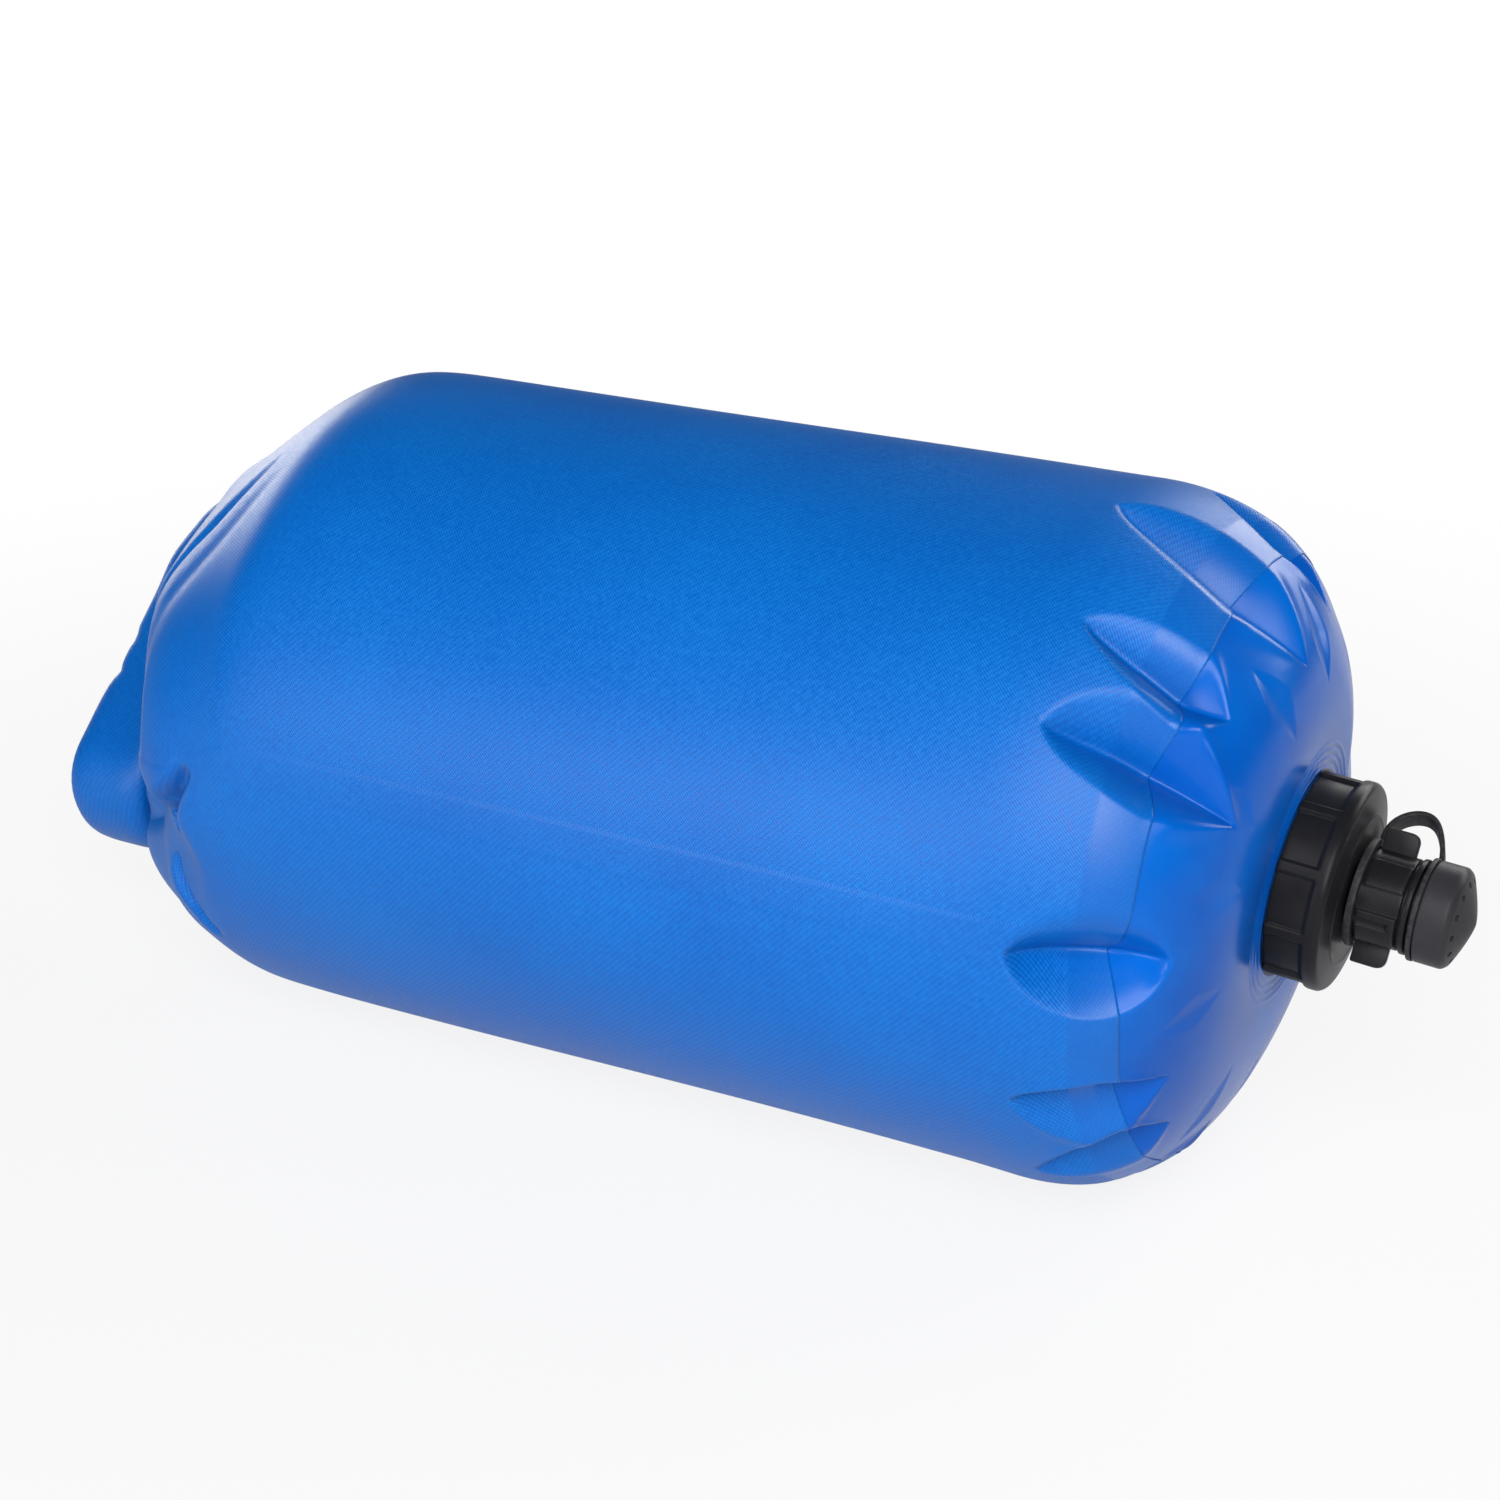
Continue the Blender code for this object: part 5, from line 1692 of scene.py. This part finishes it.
@dataclass
class Tether:
    """Flat rubber strap from a ring round the tap to a ring round the shower head.

    A ring has its inner and outer radius and its lower and upper height.
    """

    width: float = 6.4
    thickness: float = 1.4
    edge: float = 0.4
    angle: float = 128.0
    tap_ring: tuple[float, float, float, float] = (13.0, 15.0, 18.6, 20.6)
    head_ring: tuple[float, float, float, float] = (13.2, 14.2, 35.4, 36.8)
    ring_sides: int = 120
    start: Spot = (14.0, 19.6)
    end: Spot = (14.2, 36.1)
    reach: float = 12.0
    lean: float = 0.12
    steps: int = 64
    bump_share: float = 0.52
    bump_shifts: tuple[int, int] = (-4, 4)
    bump_radius: float = 0.6
    bump_rise: float = 0.5
    bump_sink: float = 0.1
    bump_tip: float = 0.001
    bump_sides: int = 24
    tap_hold: float = 0.2
    head_hold: float = 0.1

    def route(self) -> Array:
        """Return the strap's middle as (radius, height) points."""
        angle = np.linspace(0.0, math.pi, self.steps + 1)
        middle = (np.array(self.start) + np.array(self.end)) / 2
        half = (np.array(self.end) - np.array(self.start)) / 2
        radius = middle[0] - half[0] * np.cos(angle) + self.reach * np.sin(angle)
        height = middle[1] - half[1] * np.cos(angle) * (1 + self.lean * np.sin(2 * angle))
        return np.stack([radius, height], axis=-1)

    def make_strap(self) -> Piece:
        """Return the strap."""
        angle = math.radians(self.angle)
        out = Vector((math.cos(angle), math.sin(angle), 0.0))
        across = Vector((-out.y, out.x, 0.0))
        route = self.route()
        stations = []
        for (radius, height), (run, rise) in zip(route, np.gradient(route, axis=0)):
            normal = (out * rise - UP * run).normalized()
            stations.append((out * radius + UP * height, across, normal))
        return sweep("tether", VALVE, strap_section(self.width, self.thickness, self.edge), stations)

    def make_ring(self, name: str, sizes: tuple[float, float, float, float]) -> Piece:
        """Return one of the strap's rings.

        Args:
            name: Name of the ring.
            sizes: Its inner and outer radius and its heights.

        Returns:
            The new ring.
        """
        inner, outer, low, high = sizes
        corners = [
            (inner, low, 0.0), (outer, low, 0.4), (outer, high, 0.4), (inner, high, 0.2), (inner, low, 0.0),
        ]
        return lathe(name, VALVE, rounded(corners), self.ring_sides)

    def make_bumps(self) -> list[Piece]:
        """Return the two moulded bumps on the strap's outside."""
        route = self.route()
        heading = np.gradient(route, axis=0)
        arc = np.linspace(0.0, math.pi / 2, 7)
        height = self.thickness / 2 - self.bump_sink + self.bump_rise * np.sin(arc)
        line = np.stack([self.bump_radius * np.cos(arc) + self.bump_tip, height], axis=-1)
        spin = VALVE.matrix() @ Matrix.Rotation(math.radians(self.angle), 4, "Z")
        bumps = []
        for number, shift in enumerate(self.bump_shifts):
            index = round(self.bump_share * self.steps) + shift
            run, rise = heading[index]
            spot = spin @ Matrix.Translation((route[index][0], 0.0, route[index][1]))
            spot = spot @ Matrix.Rotation(math.atan2(rise, -run), 4, "Y")
            bump = lathe(f"tether_bump_{number}", Place((0.0, 0.0, 0.0)), line, self.bump_sides)
            bump.data.transform(Matrix.Scale(MM, 4) @ spot @ Matrix.Scale(1 / MM, 4))
            bumps.append(bump)
        return bumps

    def build(self) -> None:
        """Make and dress the tether, whose strap runs from the ring round the tap to the ring round the head.
        """
        rings = [self.make_ring("tap_loop", self.tap_ring), self.make_ring("head_loop", self.head_ring)]
        strap = joined([self.make_strap()] + rings + self.make_bumps())
        strap.name = "tether_strap"
        dress(strap, Finish.TETHER, "tap_tether")
        start = VALVE.point(0.0, 0.0, self.tap_ring[3] + self.tap_hold)
        end = VALVE.point(0.0, 0.0, self.head_ring[2] - self.head_hold)
        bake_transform(strap)
        LOG.info("%s stretches between tap and head", strap.name)


# Rolled closure

@dataclass
class RolledMouth:
    """The sack's mouth wound flat and bent back at both ends.

    A swell has a size, a speed along the roll and a phase. A notch has a place along the roll, a spread
    and a depth.
    """

    width: float = 32.0
    thickness: float = 12.0
    straight: float = 84.0
    straight_steps: int = 30
    bend_radius: float = 18.0
    bend_steps: int = 22
    arm: float = 8.0
    arm_shares: Triple = (0.33, 0.66, 1.0)
    ply: float = 1.3
    step: float = 1.8
    turns: float = 1.5
    turn_points: int = 64
    start: float = 0.97
    edge_power: float = 0.5
    face_power: float = 0.8
    far_pull: float = 4.0
    far_end: Span = (25.0, 52.0)
    swells: tuple[Triple, ...] = ((0.02, 23.0, 0.0), (0.015, 51.0, 1.0))
    sway: float = 0.35
    sway_speed: float = 17.0
    notches: tuple[Triple, ...] = ((-3.0, 2.5, 1.0), (-16.0, 2.5, 1.4))

    def outline(self) -> Array:
        """Return the wound cloth's outline as (across, outwards) points."""
        count = round(self.turns * self.turn_points)
        turn = np.linspace(0.0, self.turns, count + 1)
        angle = TURN * (self.start + turn)
        inset = self.ply / 2 + self.step * turn
        across = (self.width / 2 - inset) * signed_power(np.cos(angle), self.edge_power)
        outwards = (self.thickness / 2 - inset) * signed_power(np.sin(angle), self.face_power)
        distance = walked(np.stack([across, outwards], axis=-1))
        even = np.linspace(0.0, distance[-1], count + 1)
        line = np.stack([np.interp(even, distance, part) for part in (across, outwards)], axis=-1)
        heading = np.gradient(line, axis=0)
        heading = heading / np.linalg.norm(heading, axis=1, keepdims=True)
        normal = np.stack([-heading[:, 1], heading[:, 0]], axis=-1) * self.ply / 2
        return np.concatenate([line + normal, (line - normal)[::-1]])

    def stations(self) -> list[Station]:
        """Return the roll's places from arm to arm."""
        half = self.straight / 2
        across = Vector((1.0, 0.0, 0.0))
        centre = Vector((0.0, half, -self.bend_radius))
        end = []
        for share in np.linspace(0.0, 1.0, self.bend_steps + 1):
            out = Vector((0.0, math.sin(math.pi * share), math.cos(math.pi * share)))
            end.append((centre + out * self.bend_radius, across, out))
        for share in self.arm_shares:
            end.append((Vector((0.0, half - self.arm * share, -2 * self.bend_radius)), across, -UP))
        places = np.linspace(-half, half, self.straight_steps)[1:-1]
        middle = [(Vector((0.0, place, 0.0)), across, UP) for place in places]
        other_end = [
            (Vector((0.0, -origin.y, origin.z)), across, Vector((0.0, -out.y, out.z)))
            for origin, across, out in reversed(end)
        ]
        return other_end + middle + end

    def build(self) -> None:
        """Make and dress the roll."""
        stations = self.stations()
        phase = np.arange(len(stations)) / len(stations)
        along = np.array([origin.y for origin, _, _ in stations])
        swell = 1 + sum(size * np.sin(speed * phase + start) for size, speed, start in self.swells)
        sway = self.sway * np.sin(self.sway_speed * phase)
        shift = self.far_pull * smooth_step(along, *self.far_end) + sway
        for place, spread, depth in self.notches:
            shift = shift + depth * np.exp(-(((along - place) / spread) ** 2))
        outlines = np.repeat(self.outline()[None], len(stations), axis=0)
        outlines[..., 0] = outlines[..., 0] * swell[:, None] + shift[:, None]
        roll = sweep("rolled_mouth", CLOSURE, outlines, stations)
        add_piece(roll, Finish.NYLON, "sack", "closure_roll")


@dataclass
class WebbingTab:
    """Doubled strap with an eye round the buckle's bar and its tail in the roll."""

    node: str
    side: int
    width: float = 17.0
    ply: float = 1.3
    ply_gap: float = 0.04
    edge: float = 0.45
    bar_outer: float = 29.3
    bar_inner: float = 25.2
    bar_half: float = 2.1
    pinch: float = 0.3
    tail_end: float = 41.7
    step: float = 1.2
    edge_step: float = 2.0

    def build(self) -> None:
        """Make and dress the tab."""
        half = self.ply / 2
        low = self.bar_half + half
        near = self.bar_inner - half
        far = self.bar_outer + half
        upper = [
            (self.tail_end, half, 0.0), (far + self.ply, half, 2.0), (far - self.pinch, low, 1.4),
            (near, low, 1.8),
        ]
        lower = [(along, -height, rounding) for along, height, rounding in reversed(upper)]
        route = refined(rounded(upper + lower, 6), self.step)
        across = Vector((1.0, 0.0, 0.0))
        stations = []
        for (along, height), (run, rise) in zip(route, np.gradient(route, axis=0)):
            normal = Vector((0.0, -self.side * rise, run)).normalized()
            stations.append((Vector((0.0, self.side * along, height)), across, normal))
        outline = refined(strap_section(self.width, self.ply - self.ply_gap, self.edge), self.edge_step)
        tab = sweep(self.node.replace("tab", "strap"), BUCKLE, outline, stations)
        add_piece(tab, Finish.WEBBING, "sack", self.node)


# Carried-over CAD nodes

CARRIED = {
    "spout_neck": Finish.BLACK,
    "cap_gasket": Finish.SEAL,
    "valve_stem": Finish.BLACK,
    "stem_seal": Finish.SEAL,
    "tap_seal": Finish.SEAL,
    "head_seal": Finish.SEAL,
    "closure_stiffener": Finish.STRIP,
    "buckle_female": Finish.BLACK,
    "buckle_male": Finish.BLACK,
    "buckle_prong_right": Finish.BLACK,
    "buckle_prong_left": Finish.BLACK,
}


def dress_nodes(nodes: dict[str, Piece]) -> None:
    """Give the CAD nodes that stay in view their finishes.

    Args:
        nodes: The frame's nodes by name.
    """
    for name, finish in CARRIED.items():
        node = nodes[name]
        material = finish.material()
        if not node.material_slots:
            node.data.materials.append(material)
        for slot in node.material_slots:
            slot.material = material
        LOG.info("%s wears %s", name, finish.name.lower())


# Studio

@dataclass(frozen=True)
class Lamp:
    """A square soft light that faces a target, with its sizes in metres."""

    name: str
    place: Point
    target: Point
    size: float
    watts: float

    def build(self) -> None:
        """Add the light."""
        data = bpy.data.lights.new(self.name, "AREA")
        data.shape = "SQUARE"
        data.size = self.size
        data.energy = self.watts
        light = linked(self.name, data)
        light.location = self.place
        facing = Vector(self.target) - Vector(self.place)
        light.rotation_euler = facing.to_track_quat("-Z", "Y").to_euler()


@dataclass
class Studio:
    """Camera at the photograph's angle, pale floor and soft light, with floor and fade in metres."""

    focal_pixels: float = 2774.0
    image_pixels: float = 1500.0
    sensor: float = 36.0
    clip_start: float = 0.01
    azimuth: float = 28.35
    elevation: float = 22.75
    camera_place: Point = (210.8, -674.0, 323.0)
    floor_size: float = 12.0
    floor_colour: Colour = (0.7, 0.7, 0.7)
    floor_glow: float = 0.85
    gloss_share: float = 0.4
    fade_start: float = 0.25
    fade_end: float = 0.7
    ambient: float = 0.06
    lamps: tuple[Lamp, ...] = (
        Lamp("key_light", (0.45, -1.0, 0.88), (0.05, 0.0, 0.1), 0.8, 16.0),
        Lamp("front_light", (-0.5, -1.3, 0.36), (0.02, 0.0, 0.1), 0.5, 6.0),
        Lamp("side_light", (0.9, -0.95, 0.58), (0.12, -0.03, 0.1), 0.6, 4.0),
        Lamp("back_light", (0.25, 1.3, 0.72), (0.12, 0.0, 0.1), 0.7, 7.0),
        Lamp("rim_light", (0.95, 1.2, 0.75), (0.12, 0.0, 0.1), 0.7, 9.0),
        Lamp("fill_light", (-1.25, 0.75, 0.22), (-0.1, 0.0, 0.1), 0.6, 5.0),
    )

    def add_camera(self) -> None:
        """Add the camera and make it the scene's camera."""
        data = bpy.data.cameras.new("photo_camera")
        data.sensor_fit = "HORIZONTAL"
        data.sensor_width = self.sensor
        data.lens = self.focal_pixels / self.image_pixels * self.sensor
        data.clip_start = self.clip_start
        camera = linked("photo_camera", data)
        camera.location = BAG.point(*self.camera_place)
        camera.rotation_euler = (math.radians(90 - self.elevation), 0.0, math.radians(self.azimuth))
        bpy.context.scene.camera = camera

    def seen_share(self, paint: Paint) -> Wire:
        """Return 1 for rays that show the white background, and less for dull gloss."""
        camera, glossy, glass = (
            paint.node("ShaderNodeLightPath", output=name)
            for name in ("Is Camera Ray", "Is Glossy Ray", "Is Transmission Ray")
        )
        return camera + glass + glossy * self.gloss_share

    def add_floor(self) -> None:
        """Add the pale floor, which keeps the sack's shadow."""
        half = self.floor_size / 2
        corners = np.array([(-half, -half, 0.0), (half, -half, 0.0), (half, half, 0.0), (-half, half, 0.0)])
        floor = new_piece("studio_floor", corners, [(0, 1, 2, 3)])
        paint = Paint(bpy.data.materials.new("studio_floor"))
        away = paint.node("ShaderNodeVectorMath", {"operation": "LENGTH"}, {0: paint.place()}, "Value")
        fade = away.between(self.fade_start, self.fade_end)
        share = self.seen_share(paint) * (self.floor_glow + fade * (1 - self.floor_glow))
        matt = paint.node("ShaderNodeBsdfDiffuse", None, {"Color": (*self.floor_colour, 1.0)})
        white = paint.node("ShaderNodeEmission", None, {"Color": WHITE, "Strength": 1.0})
        both = paint.node("ShaderNodeMixShader", None, {0: share, 1: matt, 2: white})
        paint.node("ShaderNodeOutputMaterial", None, {"Surface": both})
        floor.data.materials.append(paint.owner)

    def light_world(self) -> None:
        """Fill the room with a soft grey light and show it white."""
        paint = Paint(bpy.data.worlds.new("studio_world"))
        dim, white = (
            paint.node("ShaderNodeBackground", None, {"Color": WHITE, "Strength": strength})
            for strength in (self.ambient, 1.0)
        )
        seen = paint.node("ShaderNodeLightPath", output="Is Camera Ray")
        both = paint.node("ShaderNodeMixShader", None, {0: seen, 1: dim, 2: white})
        paint.node("ShaderNodeOutputWorld", None, {"Surface": both})
        bpy.context.scene.world = paint.owner

    def build(self) -> None:
        """Set up the camera, the floor and the lights."""
        bpy.context.scene.view_settings.view_transform = "Standard"
        self.add_camera()
        self.add_floor()
        self.light_world()
        for lamp in self.lamps:
            lamp.build()


def main() -> None:
    """Build the studio and the sack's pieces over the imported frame."""
    logging.basicConfig(level=logging.INFO, format="%(name)s: %(message)s")
    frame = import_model()
    Studio().build()
    SackBody().build()
    for piece in (SpoutCollar(), ScrewCap(), TwistTap(), ShowerHead(), Tether(), RolledMouth()):
        piece.build()
    WebbingTab("webbing_tab_female", 1).build()
    WebbingTab("webbing_tab_male", -1).build()
    dress_nodes(frame["nodes"])


if __name__ == "__main__":
    main()
